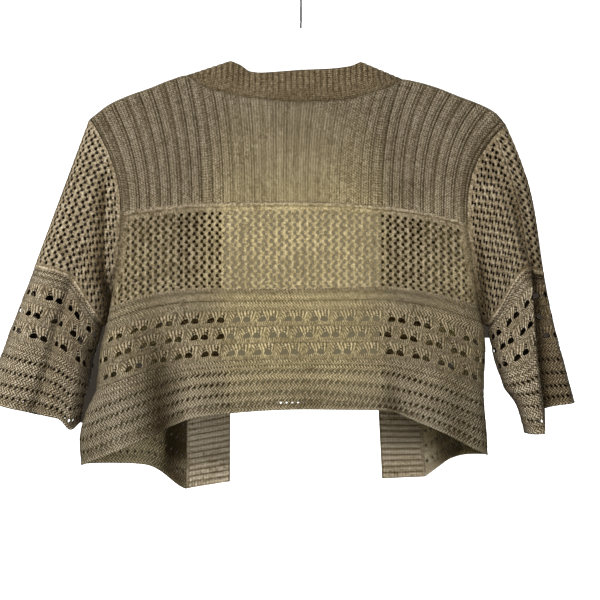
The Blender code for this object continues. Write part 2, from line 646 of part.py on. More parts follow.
def add_hanger(material):
    """A flat bar whose arms follow the shoulders, with rounded edges."""
    neck_left, neck_right = SHOULDER_LEFT[-1][0], SHOULDER_RIGHT[0][0]
    x = np.concatenate([np.linspace(HANGER_LEFT, neck_left - HANGER_NECK_REACH, 7),
                        [neck_left, 0.0, neck_right],
                        np.linspace(neck_right + HANGER_NECK_REACH, HANGER_RIGHT, 7)])
    top = np.where((x < neck_left) | (x > neck_right), ridge(x) + HANGER_SEAT, HANGER_NECK_DROP)
    reach = np.abs(x) / HANGER_RIGHT
    foot = top + mix(HANGER_DEPTH, HANGER_TIP, np.clip(reach, 0, 1))
    outline = list(zip(x, top)) + list(zip(x[::-1], foot[::-1]))
    mesh = bpy.data.meshes.new("hanger")
    vertices = [((px + OFF_CENTRE) * MM, 0.0, -drop * MM) for px, drop in outline]
    mesh.from_pydata(vertices, [], [tuple(range(len(vertices)))])
    mesh.materials.append(material)
    hanger = bpy.data.objects.new("hanger", mesh)
    bpy.data.collections[COLLECTION].objects.link(hanger)
    plate = hanger.modifiers.new("plate", "SOLIDIFY")
    plate.thickness = HANGER_THICK * MM
    plate.offset = 0.0
    rounding = hanger.modifiers.new("rounding", "BEVEL")
    rounding.width = HANGER_ROUND * MM
    rounding.segments = 3
    rounding.limit_method = "ANGLE"
    rounding.angle_limit = math.radians(50)
    return hanger


def hook_path():
    """The wire's centre line in the Y-Z plane: tip, crook, and a bend back over the stem."""
    centre = HOOK_WIRE - HOOK_RADIUS
    points = [(-HOOK_RADIUS, -HOOK_TIP_DROP), (-HOOK_RADIUS, (centre - HOOK_TIP_DROP) / 2)]
    for degrees in range(180, -46, -15):
        angle = math.radians(degrees)
        points.append((HOOK_RADIUS * math.cos(angle), centre + HOOK_RADIUS * math.sin(angle)))
    bend_y, bend_z = points[-1]
    for step in range(1, 7):
        share = step / 6
        y = bend_y * (1 - share) ** 2
        points.append((y, mix(bend_z, -HOOK_BEND_DROP, share)))
    points.append((0.0, -(HANGER_NECK_DROP - SEAM_GAP)))
    return points


def add_hook(material):
    path = hook_path()
    curve = bpy.data.curves.new("hook", "CURVE")
    curve.dimensions = "3D"
    curve.bevel_depth = HOOK_WIRE * MM
    curve.bevel_resolution = 2
    curve.use_fill_caps = True
    spline = curve.splines.new("POLY")
    spline.points.add(len(path) - 1)
    for point, (y, z) in zip(spline.points, path):
        point.co = (0.0, y * MM, z * MM, 1.0)
    curve.materials.append(material)
    hook = bpy.data.objects.new("hook", curve)
    bpy.data.collections[COLLECTION].objects.link(hook)
    return hook


def clear_scene():
    for item in list(bpy.data.objects):
        bpy.data.objects.remove(item, do_unlink=True)


def main():
    clear_scene()
    collection = bpy.data.collections.new(COLLECTION)
    bpy.context.scene.collection.children.link(collection)
    knit = make_material("knit_taupe", (0.205, 0.165, 0.098), 0.92)
    rib = make_material("rib_knit", (0.215, 0.172, 0.102), 0.9)
    plastic = make_material("hanger_plastic", (0.02, 0.02, 0.02), 0.5)
    wire = make_material("hook_wire", (0.03, 0.03, 0.03), 0.35, 0.9)

    body_panel("back", back_row, YOKE_STEPS, BACK_CELLS, knit, outward_flip=False, phase=0)
    for side in ("left", "right"):
        body_panel("front_" + side, lambda row, shares, s=side: front_row(s, row, shares),
                   FRONT_YOKE_STEPS, FRONT_CELLS, knit, outward_flip=(side == "left"), phase=1)
        for face in ("back", "front"):
            sleeve_panel(side, face, knit)
    add_band(rib)
    add_hanger(plastic)
    add_hook(wire)


main()
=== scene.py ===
"""Looks of the knitted shrug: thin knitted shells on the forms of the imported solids.

All tables are in millimetres: x across, and drop, the distance below the hanger's hook. A
panel is read as rows (row 0 is its upper edge) and shares of a row's width. Each shell has
real rib relief and real lace holes, cut along the zero line of a field that is positive on
cloth.
"""
import math
from collections import namedtuple
from functools import partial

import bpy
import numpy as np
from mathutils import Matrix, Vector

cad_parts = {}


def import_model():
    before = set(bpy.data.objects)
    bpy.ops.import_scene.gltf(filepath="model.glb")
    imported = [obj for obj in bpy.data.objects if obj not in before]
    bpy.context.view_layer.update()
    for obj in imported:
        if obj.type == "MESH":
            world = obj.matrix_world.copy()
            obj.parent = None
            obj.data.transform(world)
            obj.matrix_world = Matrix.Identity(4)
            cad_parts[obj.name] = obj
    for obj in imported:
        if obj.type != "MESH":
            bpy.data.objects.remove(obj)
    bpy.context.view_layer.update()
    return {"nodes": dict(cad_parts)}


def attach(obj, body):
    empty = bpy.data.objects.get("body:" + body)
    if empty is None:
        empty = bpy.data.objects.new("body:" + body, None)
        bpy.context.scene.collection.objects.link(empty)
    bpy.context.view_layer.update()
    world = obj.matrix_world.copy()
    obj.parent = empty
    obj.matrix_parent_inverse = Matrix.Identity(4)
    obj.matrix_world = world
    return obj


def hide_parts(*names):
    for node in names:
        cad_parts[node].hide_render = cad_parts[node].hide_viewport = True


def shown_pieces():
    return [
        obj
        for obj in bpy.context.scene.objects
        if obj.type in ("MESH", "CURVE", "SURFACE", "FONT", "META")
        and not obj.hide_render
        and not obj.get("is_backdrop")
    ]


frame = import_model()

MM = 0.001

# Cloth
WALL = 1.5               # plain knit
SEAM_GAP = 0.1           # between two sewn pieces
BAND_GAP = 0.1           # down the fronts, where its ribs differ from theirs
NECK_GAP = 0.2           # near the neck's corners, where the band leans away most
NECK_CORNER_GAP = 0.5    # where shoulder, neck and band seams meet on the fold
ARMHOLE_GAP = 0.2        # the seam lies in a valley, where walls lean together
UNDERARM_GAP = 0.3       # at its foot two side rolls face each other
OFF_CENTRE = -1.0        # the shrug hangs this far from the hook's line
BACK_CELLS, FRONT_CELLS, SLEEVE_CELLS = 32, 9, 8   # half leaf pairs across each panel
# How far the cloth stands off the middle plane, below the fold over the shoulders
CAP_RADIUS = 3.6
SPREAD = 24.0
SPREAD_LENGTH = 180.0
NECK_SWELL = 6.0
NECK_SWELL_WIDTH = 100.0
SIDE_ROLL = 32.0
ARMHOLE_VALLEY = 1.6
VALLEY_WIDTH = 9.0

# The fold along the shoulders, outer side: x, drop
SHOULDER_LEFT = ((-212, 128), (-192, 113), (-172, 104), (-152, 97), (-132, 89), (-114, 84))
SHOULDER_RIGHT = ((103, 88), (120, 91), (140, 97), (160, 105), (181, 113), (197, 121.5), (208, 134))
NECK_SEAM = ((-114, 84), (-108, 88), (-101, 93), (-86, 99), (-70, 103), (-50, 107.5), (-30, 109.5),
             (0, 111.5), (30, 110.5), (52, 108), (73, 101.5), (91, 95.5), (103, 88))
COLLAR_EDGE = ((-70, 69), (-60.5, 73), (-50, 80), (-40, 81.2), (-20, 80), (0, 78.4),
               (30, 77), (50, 74.4), (61.5, 70))
COLLAR_PEAK_LEFT, COLLAR_PEAK_RIGHT = COLLAR_EDGE[0], COLLAR_EDGE[-1]
COLLAR_FAN = ((-114, -114), (-104, -91), (-87, -70), (-50, -42), (0, 0), (48, 40), (80, 61.5), (94, 81),
              (103, 103))
BAND_FOOT_LEFT = (-72, 499)
BAND_FOOT_RIGHT = (84.5, 496)

# Rows of the back. Drops at the left edge, at five places across, and at the right edge.
BACK_STATIONS = (-150, -100, 0, 80, 130)
BackRow = namedtuple("BackRow", "name left_x left_drop a b c d e right_drop right_x")
BACK_ROWS = (
    BackRow("yoke_foot",  -180, 224, 220, 215.5, 214, 218, 225, 236, 168),
    BackRow("mesh_mid",   -183.5, 273, 264, 258.5, 258, 259, 266, 277, 173.5),
    BackRow("mesh_foot",  -193, 322, 308, 302, 302, 300, 306.5, 319, 181),
    BackRow("leaf_top",   -198.6, 345, 330, 324, 322, 322, 329.5, 349, 187.5),
    BackRow("leaf_one",   -202.7, 364, 346.5, 340.5, 338, 337.7, 346, 365, 188),
    BackRow("leaf_two",   -204.7, 384, 365, 357.5, 354.5, 354, 363, 383.5, 187),
    BackRow("leaf_foot",  -206.7, 402, 383, 374, 371, 371, 379, 402, 186.5),
    BackRow("eyelet_one", -218, 428, 401, 387.5, 383, 385, 396.5, 418.5, 187),
    BackRow("eyelet_two", -223.5, 454, 425, 409, 403.5, 410, 421, 447, 189.5),
    BackRow("hem",        -222, 479, 449, 428.5, 421.5, 422, 439, 469, 190.5),
)
# Rows of the fronts, from the side seam they share with the back to the band
FrontRow = namedtuple("FrontRow", "name left_mid left_band right_mid right_band")
FRONT_ROWS = (
    FrontRow("yoke_foot",  240, 262, 242, 258),
    FrontRow("mesh_mid",   286, 304, 286, 299),
    FrontRow("mesh_foot",  332, 347, 330, 341),
    FrontRow("leaf_top",   354, 368, 352, 361),
    FrontRow("leaf_one",   370, 385, 369, 378),
    FrontRow("leaf_two",   387, 403, 386, 396),
    FrontRow("leaf_foot",  404, 420, 403, 413),
    FrontRow("eyelet_one", 426, 441, 422, 433),
    FrontRow("eyelet_two", 454, 472, 448, 463),
    FrontRow("hem",        482, 506, 474, 494),
)
FRONT_MID_LEFT, BAND_SEAM_LEFT = -160, (-114, -117)
FRONT_MID_RIGHT, BAND_SEAM_RIGHT = 156, (103, 129)
# The fronts' edges bow apart: how far right of a straight line, by the mm below the shoulder
EDGE_BOW = {
    "left": ((0, 0), (20, -4), (43, -7.5), (73, -10.8), (120, -10), (190, -9), (240, -8), (270, -5.5),
             (300, -2.5), (335, 0)),
    "right": ((0, 0), (15, 5.5), (30, 10.5), (45, 14.5), (70, 17), (130, 14.7), (192, 11.7), (260, 7),
              (330, 1.2), (360, 0)),
}

# Rows of the sleeves below the armhole: the fold over the arm, the middle and the underarm
SleeveRow = namedtuple("SleeveRow", "name over_x over_drop mid_x mid_drop under_x under_drop")
SLEEVE_ROWS = {
    "left": (
        SleeveRow("mesh_foot",  -269.5, 279.6, -234.5, 289, -199, 338),
        SleeveRow("leaf_top",   -274.6, 293.8, -235, 305, -201.5, 346),
        SleeveRow("leaf_one",   -281.7, 312, -236, 326, -204.5, 357),
        SleeveRow("leaf_two",   -288.8, 330.2, -237, 347.5, -211.8, 371),
        SleeveRow("leaf_foot",  -295.9, 348.5, -238, 368, -214, 387),
        SleeveRow("eyelet_one", -302.5, 366.7, -239, 384, -215.5, 399.5),
        SleeveRow("eyelet_two", -314.1, 393.1, -243, 409, -219, 418.4),
        SleeveRow("hem",        -322.2, 413.3, -244, 430, -222, 433.6),
    ),
    "right": (
        SleeveRow("mesh_foot",  247.8, 287.7, 230, 283, 189.5, 338),
        SleeveRow("leaf_top",   248.8, 296.8, 231, 299, 190.5, 346),
        SleeveRow("leaf_one",   253.3, 317.6, 232, 322, 193.5, 357),
        SleeveRow("leaf_two",   257.9, 337.3, 233, 344, 196, 371),
        SleeveRow("leaf_foot",  262.4, 355.6, 234.5, 366, 201.7, 387),
        SleeveRow("eyelet_one", 267, 371.8, 236, 389, 205.7, 399),
        SleeveRow("eyelet_two", 273.6, 397.6, 239, 418, 218.9, 418.4),
        SleeveRow("hem",        278.7, 416, 243, 446, 227, 446),
    ),
}
# The right sleeve is folded down its middle: the drops of its rows just outside that fold
FOLD_DROPS = (284, 297.5, 319, 339, 356.5, 372.5, 399.5, 421.5)
FOLD_STEP = 2.6
# How far a sleeve's front stands past its underarm seam, towards the body, row by row
UNDERARM_BULGE = {"left": (1, 3, 6.5, 10, 10.5, 8.5, 4, 1), "right": (-4, -4, -2, 0, 0, 0, 0, 0)}
HEM_LOBE_X, HEM_LOBE_WIDTH, HEM_LOBE_DROP = -231.5, 6.5, 10.0   # at the left sleeve's hem
SLEEVE_CAP = {"left": 0.0, "right": 7.4}     # how far the fold over the arm rounds outwards
SLEEVE_DEPTH = (19, 20, 21, 22, 22.5, 23, 23.5, 24)
SLEEVE_SWELL = 5.0       # how far the sleeve's head stands past a straight run
# How full a sleeve's back stands, from the fold over the arm (0) to the underarm (1)
SLEEVE_BACK_FILL = {
    "left": ((0, 0), (0.1, 0.62), (0.3, 1.05), (0.46, 0.96), (0.58, 0.62), (0.7, 1.0), (0.88, 0.72), (1, 0)),
    "outside fold": ((0, 0), (0.15, 0.42), (0.6, 0.4), (1, 0.38)),
    "inside fold": ((0, 1.02), (0.35, 1.1), (0.8, 0.8), (1, 0)),
}
SLEEVE_FRONT_FILL = ((0, 0), (0.1, 0.6), (0.3, 1.0), (0.5, 0.85), (0.7, 1.05), (0.9, 0.65), (1, 0))
SLEEVE_FRONT_SAG = 6.0

# The armhole's points, as rows of the back: where the sleeve's columns start
ARMHOLE_ROWS = (0, 0.033, 0.08, 0.16, 0.34, 0.5, 0.66, 0.83, 1.0, 1.2, 1.4, 1.6, 2.0, 2.5, 3.0, 3.25, 3.5)
ARMHOLE_START_DROP = 262.0
ARMPIT_DROP = 334.0

# The largest soft folds: foot and head of each line, how wide, and how far it stands out
Fold = namedtuple("Fold", "panel head_x head_drop foot_x foot_drop width height")
FOLDS = (
    Fold("back", -152, 300, -138, 448, 14, -9),
    Fold("back", -184, 290, -178, 470, 15, 5),
    Fold("back", -112, 310, -104, 430, 16, 5),
    Fold("back", 92, 360, 94, 430, 9, -5),
    Fold("back", 118, 330, 124, 440, 16, 4),
    Fold("back", 158, 300, 160, 460, 12, -4),
    Fold("back", 10, 300, 6, 422, 18, -3),
    Fold("front_left", -136, 330, -128, 500, 12, -11),
    Fold("front_left", -170, 310, -172, 482, 16, 5),
    Fold("front_right", 142, 330, 150, 480, 12, -10),
    Fold("front_right", 170, 320, 174, 470, 12, 5),
)


# ---------------------------------------------------------------- curves

def mix(a, b, share):
    return a + (b - a) * share


def ease(value):
    value = np.clip(value, 0.0, 1.0)
    return value * value * (3.0 - 2.0 * value)


def smooth(at, xs, ys):
    """Reads at `at` the monotone cubic curve through the points (xs, ys)."""
    at, xs, ys = np.asarray(at, float), np.asarray(xs, float), np.asarray(ys, float)
    step = np.diff(xs)
    slope = np.diff(ys) / step
    tangent = np.concatenate(([slope[0]], np.zeros(len(xs) - 2), [slope[-1]]))
    product = slope[:-1] * slope[1:]
    rising = product > 0
    total = np.where(rising, slope[:-1] + slope[1:], 1.0)
    tangent[1:-1] = np.where(rising, 2.0 * product / total, 0.0)
    piece = np.clip(np.searchsorted(xs, at, side="right") - 1, 0, len(step) - 1)
    u = np.clip((at - xs[piece]) / step[piece], 0.0, 1.0)
    start, end = ys[piece], ys[piece + 1]
    lead, tail = tangent[piece] * step[piece], tangent[piece + 1] * step[piece]
    return (start * (1 + 2 * u) * (1 - u) ** 2 + lead * u * (1 - u) ** 2
            + end * u * u * (3 - 2 * u) + tail * u * u * (u - 1))


def along(line, x):
    xs, drops = zip(*line)
    return smooth(x, xs, drops)


def run_along(points):
    """Distance from the first point, along a line of points or down each column of a grid."""
    steps = np.linalg.norm(np.diff(points, axis=0), axis=-1)
    return np.concatenate([np.zeros((1,) + steps.shape[1:]), np.cumsum(steps, axis=0)])


def lengths(points):
    """Length of a line of points, or of each row of a grid."""
    return np.linalg.norm(np.diff(points, axis=-2), axis=-1).sum(axis=-1)


def read_line(at, run, points):
    """Points of a polyline where the measure `run` along it is `at`."""
    return np.stack([np.interp(at, run, column) for column in points.T], axis=1)


def evenly(points, shares):
    """Points of a polyline at the given shares of its length."""
    run = run_along(points)
    return read_line(np.asarray(shares) * run[-1], run, points)


FINE = np.linspace(0, 1, 481)


# ---------------------------------------------------------------- how the cloth hangs

def ridge(x):
    """Drop of the fold over the shoulders and the collar's peaks, inner side."""
    tops = (SHOULDER_LEFT[-1], COLLAR_PEAK_LEFT, COLLAR_PEAK_RIGHT, SHOULDER_RIGHT[0])
    collar = np.interp(x, *zip(*tops))
    left, right = along(SHOULDER_LEFT, x), along(SHOULDER_RIGHT, x)
    drop = np.where(x < SHOULDER_LEFT[-1][0], left, np.where(x > SHOULDER_RIGHT[0][0], right, collar))
    return drop + WALL


def stand_off(x, drop):
    """Distance from the middle plane to the cloth's inner side."""
    below = np.maximum(drop - ridge(x), 0.0)
    rise = np.clip(1.0 - below / CAP_RADIUS, 0.0, 1.0)
    return CAP_RADIUS * np.sqrt(1.0 - rise ** 2) + SPREAD * (1.0 - np.exp(-below / SPREAD_LENGTH))


def neck_swell(x, drop):
    """The back neck sags away from the hanger."""
    across = np.clip(1.0 - (x / NECK_SWELL_WIDTH) ** 2, 0.0, 1.0)
    return NECK_SWELL * across * ease((drop - 72.0) / 35.0) * (1.0 - ease((drop - 130.0) / 170.0))


def closed_share(edge_drop):
    """How far a panel's edge has closed from the open armhole (0) to the side seam (1)."""
    return ease((edge_drop - ARMHOLE_START_DROP) / (ARMPIT_DROP - ARMHOLE_START_DROP))


def edge_share(x, edge_x, edge_drop):
    """1 inside the panel, falling to 0 at a side seam; an armhole edge keeps its stand-off."""
    near = np.clip(np.abs(x - edge_x) / SIDE_ROLL, 0.0, 1.0)
    return 1.0 - closed_share(edge_drop) * (1.0 - np.sqrt(1.0 - (1.0 - near) ** 2))


def armhole_valley(x, drop, edge_x, edge_drop):
    """The seam between sleeve and body lies in a soft valley."""
    hanging = ease((drop - ridge(edge_x) - 8.0) / 60.0)
    open_part = 1.0 - closed_share(edge_drop)
    return ARMHOLE_VALLEY * hanging * open_part * np.exp(-((x - edge_x) / VALLEY_WIDTH) ** 2)


def folds(panel, x, drop):
    total = np.zeros_like(x)
    for fold in FOLDS:
        if fold.panel == panel:
            share = (drop - fold.head_drop) / (fold.foot_drop - fold.head_drop)
            centre = mix(fold.head_x, fold.foot_x, share)
            total = total + fold.height * ease(share) * np.exp(-((x - centre) / fold.width) ** 2)
    return total


# ---------------------------------------------------------------- rows of the body

def at_row(row, values):
    """Reads values that are given for rows 1, 2, 3 and so on at any row between them."""
    return float(smooth(row, range(1, len(values) + 1), values))


def table_value(rows, field, row):
    return at_row(row, [getattr(r, field) for r in rows])


def body_edges(row):
    """x and drop of the back's left and right edges at a row of the tables."""
    if row < 1.0:
        foot = body_edges(1.0)
        top = (SHOULDER_LEFT[0], SHOULDER_RIGHT[-1])
        lean = (1 - (1 - row) ** 2.0, 1 - (1 - row) ** 2.9)
        return tuple((mix(top[i][0], foot[i][0], lean[i]), mix(top[i][1] + WALL, foot[i][1], row))
                     for i in range(2))
    inset = WALL * float(ease((row - 2.0) / 1.5))
    left = (table_value(BACK_ROWS, "left_x", row) + inset, table_value(BACK_ROWS, "left_drop", row))
    right = (table_value(BACK_ROWS, "right_x", row) - inset, table_value(BACK_ROWS, "right_drop", row))
    return left, right


def back_depth(x, drop, left, right):
    depth = stand_off(x, drop) + neck_swell(x, drop) + folds("back", x, drop)
    share = edge_share(x, *left) * edge_share(x, *right)
    return depth * share - armhole_valley(x, drop, *left) - armhole_valley(x, drop, *right)


def back_row(row, shares):
    """Inner-side points (x, y, drop) of the back at a row, at shares of its width."""
    shares = np.asarray(shares, float)
    left, right = body_edges(row)
    if row >= 1.0:
        x = mix(left[0], right[0], FINE)
        stations = (left[0],) + BACK_STATIONS + (right[0],)
        fields = ("left_drop", "a", "b", "c", "d", "e", "right_drop")
        drop = smooth(x, stations, [table_value(BACK_ROWS, field, row) for field in fields])
        line = np.stack([x, -back_depth(x, drop, left, right), drop], axis=1)
        return evenly(line, shares)
    foot = back_row(1.0, shares)
    top_x = mix(SHOULDER_LEFT[0][0], SHOULDER_RIGHT[-1][0], shares)
    top_line = SHOULDER_LEFT + NECK_SEAM[1:-1] + SHOULDER_RIGHT
    x = mix(top_x, foot[:, 0], 1 - (1 - row) ** mix(2.0, 2.9, shares))
    drop = mix(along(top_line, top_x) + WALL, foot[:, 2], row)
    on_fold = (top_x < NECK_SEAM[0][0] + 0.5) | (top_x > NECK_SEAM[-1][0] - 0.5)
    below = np.where(on_fold, drop - along(top_line, top_x) - WALL, drop - ridge(x))
    depth = back_depth(x, np.where(on_fold, ridge(x) + below, drop), left, right)
    return np.stack([x, -depth, drop], axis=1)


def band_share(side, drop):
    """How far down a front's band seam a drop is, 0 at the shoulder and 1 at the hem."""
    top = (SHOULDER_LEFT[-1] if side == "left" else SHOULDER_RIGHT[0])[1] + WALL
    return (drop - top) / (table_value(FRONT_ROWS, side + "_band", len(FRONT_ROWS)) - top)


def front_row(side, row, shares):
    """The same for a front, from its side or armhole edge (0) to the band's seam (1)."""
    shares = np.asarray(shares, float)
    index = 0 if side == "left" else 1
    edge = body_edges(row)[index]
    band_x = (BAND_SEAM_LEFT, BAND_SEAM_RIGHT)[index]
    shoulder = (SHOULDER_LEFT, SHOULDER_RIGHT[::-1])[index]
    panel = "front_" + side
    seam_drop = table_value(FRONT_ROWS, side + "_band", max(row, 1.0))
    seam_x = mix(band_x[0], band_x[1], band_share(side, seam_drop))

    def depth(x, drop):
        full = stand_off(x, drop) + folds(panel, x, drop)
        return full * edge_share(x, *edge) - armhole_valley(x, drop, *edge)

    def fold_drop(spread):
        return along(sorted(shoulder), mix(shoulder[0][0], shoulder[-1][0], spread)) + WALL

    if row >= 1.0:
        x = mix(edge[0], seam_x, FINE)
        middle = (FRONT_MID_LEFT, FRONT_MID_RIGHT)[index]
        drops = (edge[1], table_value(FRONT_ROWS, side + "_mid", row),
                 table_value(FRONT_ROWS, side + "_band", row))
        order = (edge[0], middle, seam_x)
        if side == "right":
            drop = smooth(-x, [-value for value in order], drops)
        else:
            drop = smooth(x, order, drops)
        x = x + along(EDGE_BOW[side], drop - fold_drop(FINE)) * FINE
        return evenly(np.stack([x, depth(x, drop), drop], axis=1), shares)
    foot = front_row(side, 1.0, shares)
    top_x = mix(shoulder[0][0], shoulder[-1][0], shares)
    top_drop = fold_drop(shares)
    spread = 1 - (1 - row) ** mix((2.0, 2.9)[index], 1.0, shares)
    drop = mix(top_drop, foot[:, 2], row)
    bow = along(EDGE_BOW[side], drop - top_drop) - along(EDGE_BOW[side], foot[:, 2] - top_drop) * spread
    x = mix(top_x, foot[:, 0], spread) + bow * shares
    return np.stack([x, depth(x, ridge(x) + drop - top_drop), drop], axis=1)


# ---------------------------------------------------------------- rows of the sleeves

def armhole_point_rows(side, face):
    """The armhole's points, from the shoulder (0) to the underarm (1)."""
    points = []
    for row in ARMHOLE_ROWS:
        if face == "back":
            point = back_row(row, [0.0 if side == "left" else 1.0])[0]
        else:
            point = front_row(side, row, [0.0])[0]
        points.append(point)
    points = np.array(points)
    gap = mix(ARMHOLE_GAP, UNDERARM_GAP, ease((np.array(ARMHOLE_ROWS) - 1.0) / 2.5))
    points[:, 0] += -gap if side == "left" else gap
    points[-1, 1] = 0.0
    return points


def sleeve_ring(side, face, row, shares):
    """Inner-side points of a sleeve row below the armhole, over the arm (0) to under it (1)."""
    over_x, over_drop, mid_x, mid_drop, under_x, under_drop = (
        table_value(SLEEVE_ROWS[side], field, row) for field in SleeveRow._fields[1:])
    depth = at_row(row, SLEEVE_DEPTH)
    inward = WALL if side == "left" else -WALL
    over_x, under_x = over_x + inward, under_x - inward
    spread = mix(FINE, (1 - np.cos(math.pi * FINE)) / 2, 0.5)
    x = mix(over_x, under_x, spread)
    middle = (mid_x - over_x) / (under_x - over_x)
    if side == "right":
        fold_drop = at_row(row, FOLD_DROPS)
        outside = middle - FOLD_STEP / abs(under_x - over_x)
        drop = smooth(spread, (0, outside, middle, 1), (over_drop, fold_drop, mid_drop, under_drop))
        step = ease((spread - outside) / (middle - outside))
        fill = mix(along(SLEEVE_BACK_FILL["outside fold"], spread / middle),
                   along(SLEEVE_BACK_FILL["inside fold"], (spread - middle) / (1 - middle)), step)
    else:
        drop = smooth(spread, (0, middle, 1), (over_drop, mid_drop, under_drop))
        lobe = np.exp(-((x - HEM_LOBE_X) / HEM_LOBE_WIDTH) ** 2)
        drop = drop + HEM_LOBE_DROP * lobe * float(ease((row - 5.0) / 3.0))
        fill = along(SLEEVE_BACK_FILL[side], spread)
    if face == "front":
        if side == "left":
            drop = mix(over_drop, under_drop, spread) + SLEEVE_FRONT_SAG * np.sin(math.pi * spread)
        fill = along(SLEEVE_FRONT_FILL, spread)
        bulge = at_row(row, UNDERARM_BULGE[side])
        x = x + bulge * np.sin(math.pi * np.clip((spread - 0.74) / 0.26, 0, 1))
    rounded = np.sqrt(np.clip(1 - np.abs(2 * spread - 1) ** 5, 0, 1))
    line = np.stack([x, depth * mix(rounded, fill, float(ease(row - 0.5))), drop], axis=1)
    if face == "back":
        line[:, 1] *= -1
    return evenly(line, shares)


def sleeve_cap(side, row, shares):
    """How far right a sleeve's cap is pushed, from the armhole (0) to its first whole row (1)."""
    return SLEEVE_CAP[side] * np.clip(np.sin(math.pi * row ** 0.8), 0, 1) ** 1.3 * (1 - shares) ** 2


def sleeve_row(side, face, row, shares):
    shares = np.asarray(shares, float)
    if row >= 1.0:
        return sleeve_ring(side, face, row, shares)
    start = armhole_point_rows(side, face)
    places = np.linspace(0, 1, len(start))
    hole = read_line(shares, places, start)
    points = mix(hole, sleeve_ring(side, face, 1.0, shares), row)
    facing = -1 if face == "back" else 1
    points[:, 0] += sleeve_cap(side, row, shares)
    points[:, 1] += facing * SLEEVE_SWELL * math.sin(math.pi * row) * np.sin(math.pi * shares) ** 1.5
    return points


# ---------------------------------------------------------------- rows of the band

def band_front_line(side, across):
    """The band down one front at a share of its width (0 seam, 1 edge), foot to shoulder fold."""
    if side == "left":
        foot, peak, seam_x, sign = BAND_FOOT_LEFT, COLLAR_PEAK_LEFT, BAND_SEAM_LEFT, 1
        seam_drop = (SHOULDER_LEFT[-1][1], FRONT_ROWS[-1].left_band)
    else:
        foot, peak, seam_x, sign = BAND_FOOT_RIGHT, COLLAR_PEAK_RIGHT, BAND_SEAM_RIGHT, -1
        seam_drop = (SHOULDER_RIGHT[0][1], FRONT_ROWS[-1].right_band)
    rise = FINE ** 2
    start_x = mix(seam_x[0] + sign * NECK_CORNER_GAP, peak[0], across)
    end_x = mix(seam_x[1] + sign * BAND_GAP, foot[0], across)
    x = mix(start_x, end_x, rise)
    fold = mix(seam_drop[0], peak[1], across) + WALL
    drop = mix(fold, mix(seam_drop[1], foot[1], across), rise)
    x = x + along(EDGE_BOW[side], drop - fold)
    drop = np.maximum(drop, ridge(x))
    y = stand_off(x, drop) + folds("front_" + side, x, drop)
    return np.stack([x, y, drop], axis=1)[::-1]


def band_back_line(across):
    """The band round the back neck, left shoulder fold to right; its ribs fan upwards."""
    turn = (1 - np.cos(math.pi * FINE)) / 2
    seam_x = mix(NECK_SEAM[0][0] + NECK_CORNER_GAP, NECK_SEAM[-1][0] - NECK_CORNER_GAP, turn)
    edge_x = np.interp(seam_x, *zip(*COLLAR_FAN))
    edge_drop = np.where((edge_x > COLLAR_PEAK_LEFT[0]) & (edge_x < COLLAR_PEAK_RIGHT[0]),
                         along(COLLAR_EDGE, edge_x), ridge(edge_x) - WALL)
    x = mix(seam_x, edge_x, across)
    gap = mix(BAND_GAP, NECK_GAP, ease(np.abs(2 * turn - 1) * 2 - 1))
    drop = mix(along(NECK_SEAM, seam_x) - gap, edge_drop, across) + WALL
    drop = np.maximum(drop, ridge(x))
    drop[[0, -1]] = ridge(x[[0, -1]])
    return np.stack([x, -stand_off(x, drop) - neck_swell(x, drop), drop], axis=1)


# ---------------------------------------------------------------- knitted shells

KNIT_INNER = 0.35        # the shell's inner face, off the surface that the rows give
KNIT_OUTER = 1.25        # its plain outer face
BACK_RELIEF = 0.3        # how much of the relief shows on the reverse
CROSSING_MARGIN = 0.06   # a hole's rim keeps this share of a cell's side away from its corners

# Polygons of a cell for each choice of kept corners (bit 0 top left, then clockwise).
# Corners are 0-3, crossings on the top, right, foot and left edges 4-7.
CELL_FACES = {
    1: ((0, 4, 7),), 2: ((1, 5, 4),), 3: ((0, 1, 5, 7),), 4: ((2, 6, 5),),
    5: ((0, 4, 7), (2, 6, 5)), 6: ((1, 2, 6, 4),), 7: ((0, 1, 2, 6, 7),), 8: ((3, 7, 6),),
    9: ((0, 4, 6, 3),), 10: ((1, 5, 4), (3, 7, 6)), 11: ((0, 1, 5, 6, 3),), 12: ((2, 3, 7, 5),),
    13: ((0, 4, 5, 2, 3),), 14: ((1, 2, 3, 7, 4),), 15: ((0, 1, 2, 3),),
}


def add_object(name, data):
    made = bpy.data.objects.new(name, data)
    bpy.context.scene.collection.objects.link(made)
    return made


def world(points):
    """Table points (x, y, drop) as metres in the shared frame."""
    return np.stack([points[..., 0] + OFF_CENTRE, points[..., 1], -points[..., 2]], axis=-1) * MM


def grid_normals(points, facing):
    """Unit normals of a grid of points that look towards +Y (facing 1) or -Y (-1)."""
    across = np.gradient(points, axis=1)
    down = np.gradient(points, axis=0)
    normal = np.cross(across, down)
    normal /= np.maximum(np.linalg.norm(normal, axis=-1, keepdims=True), 1e-9)
    if np.median(normal[..., 1]) * facing < 0:
        normal = -normal
    return normal


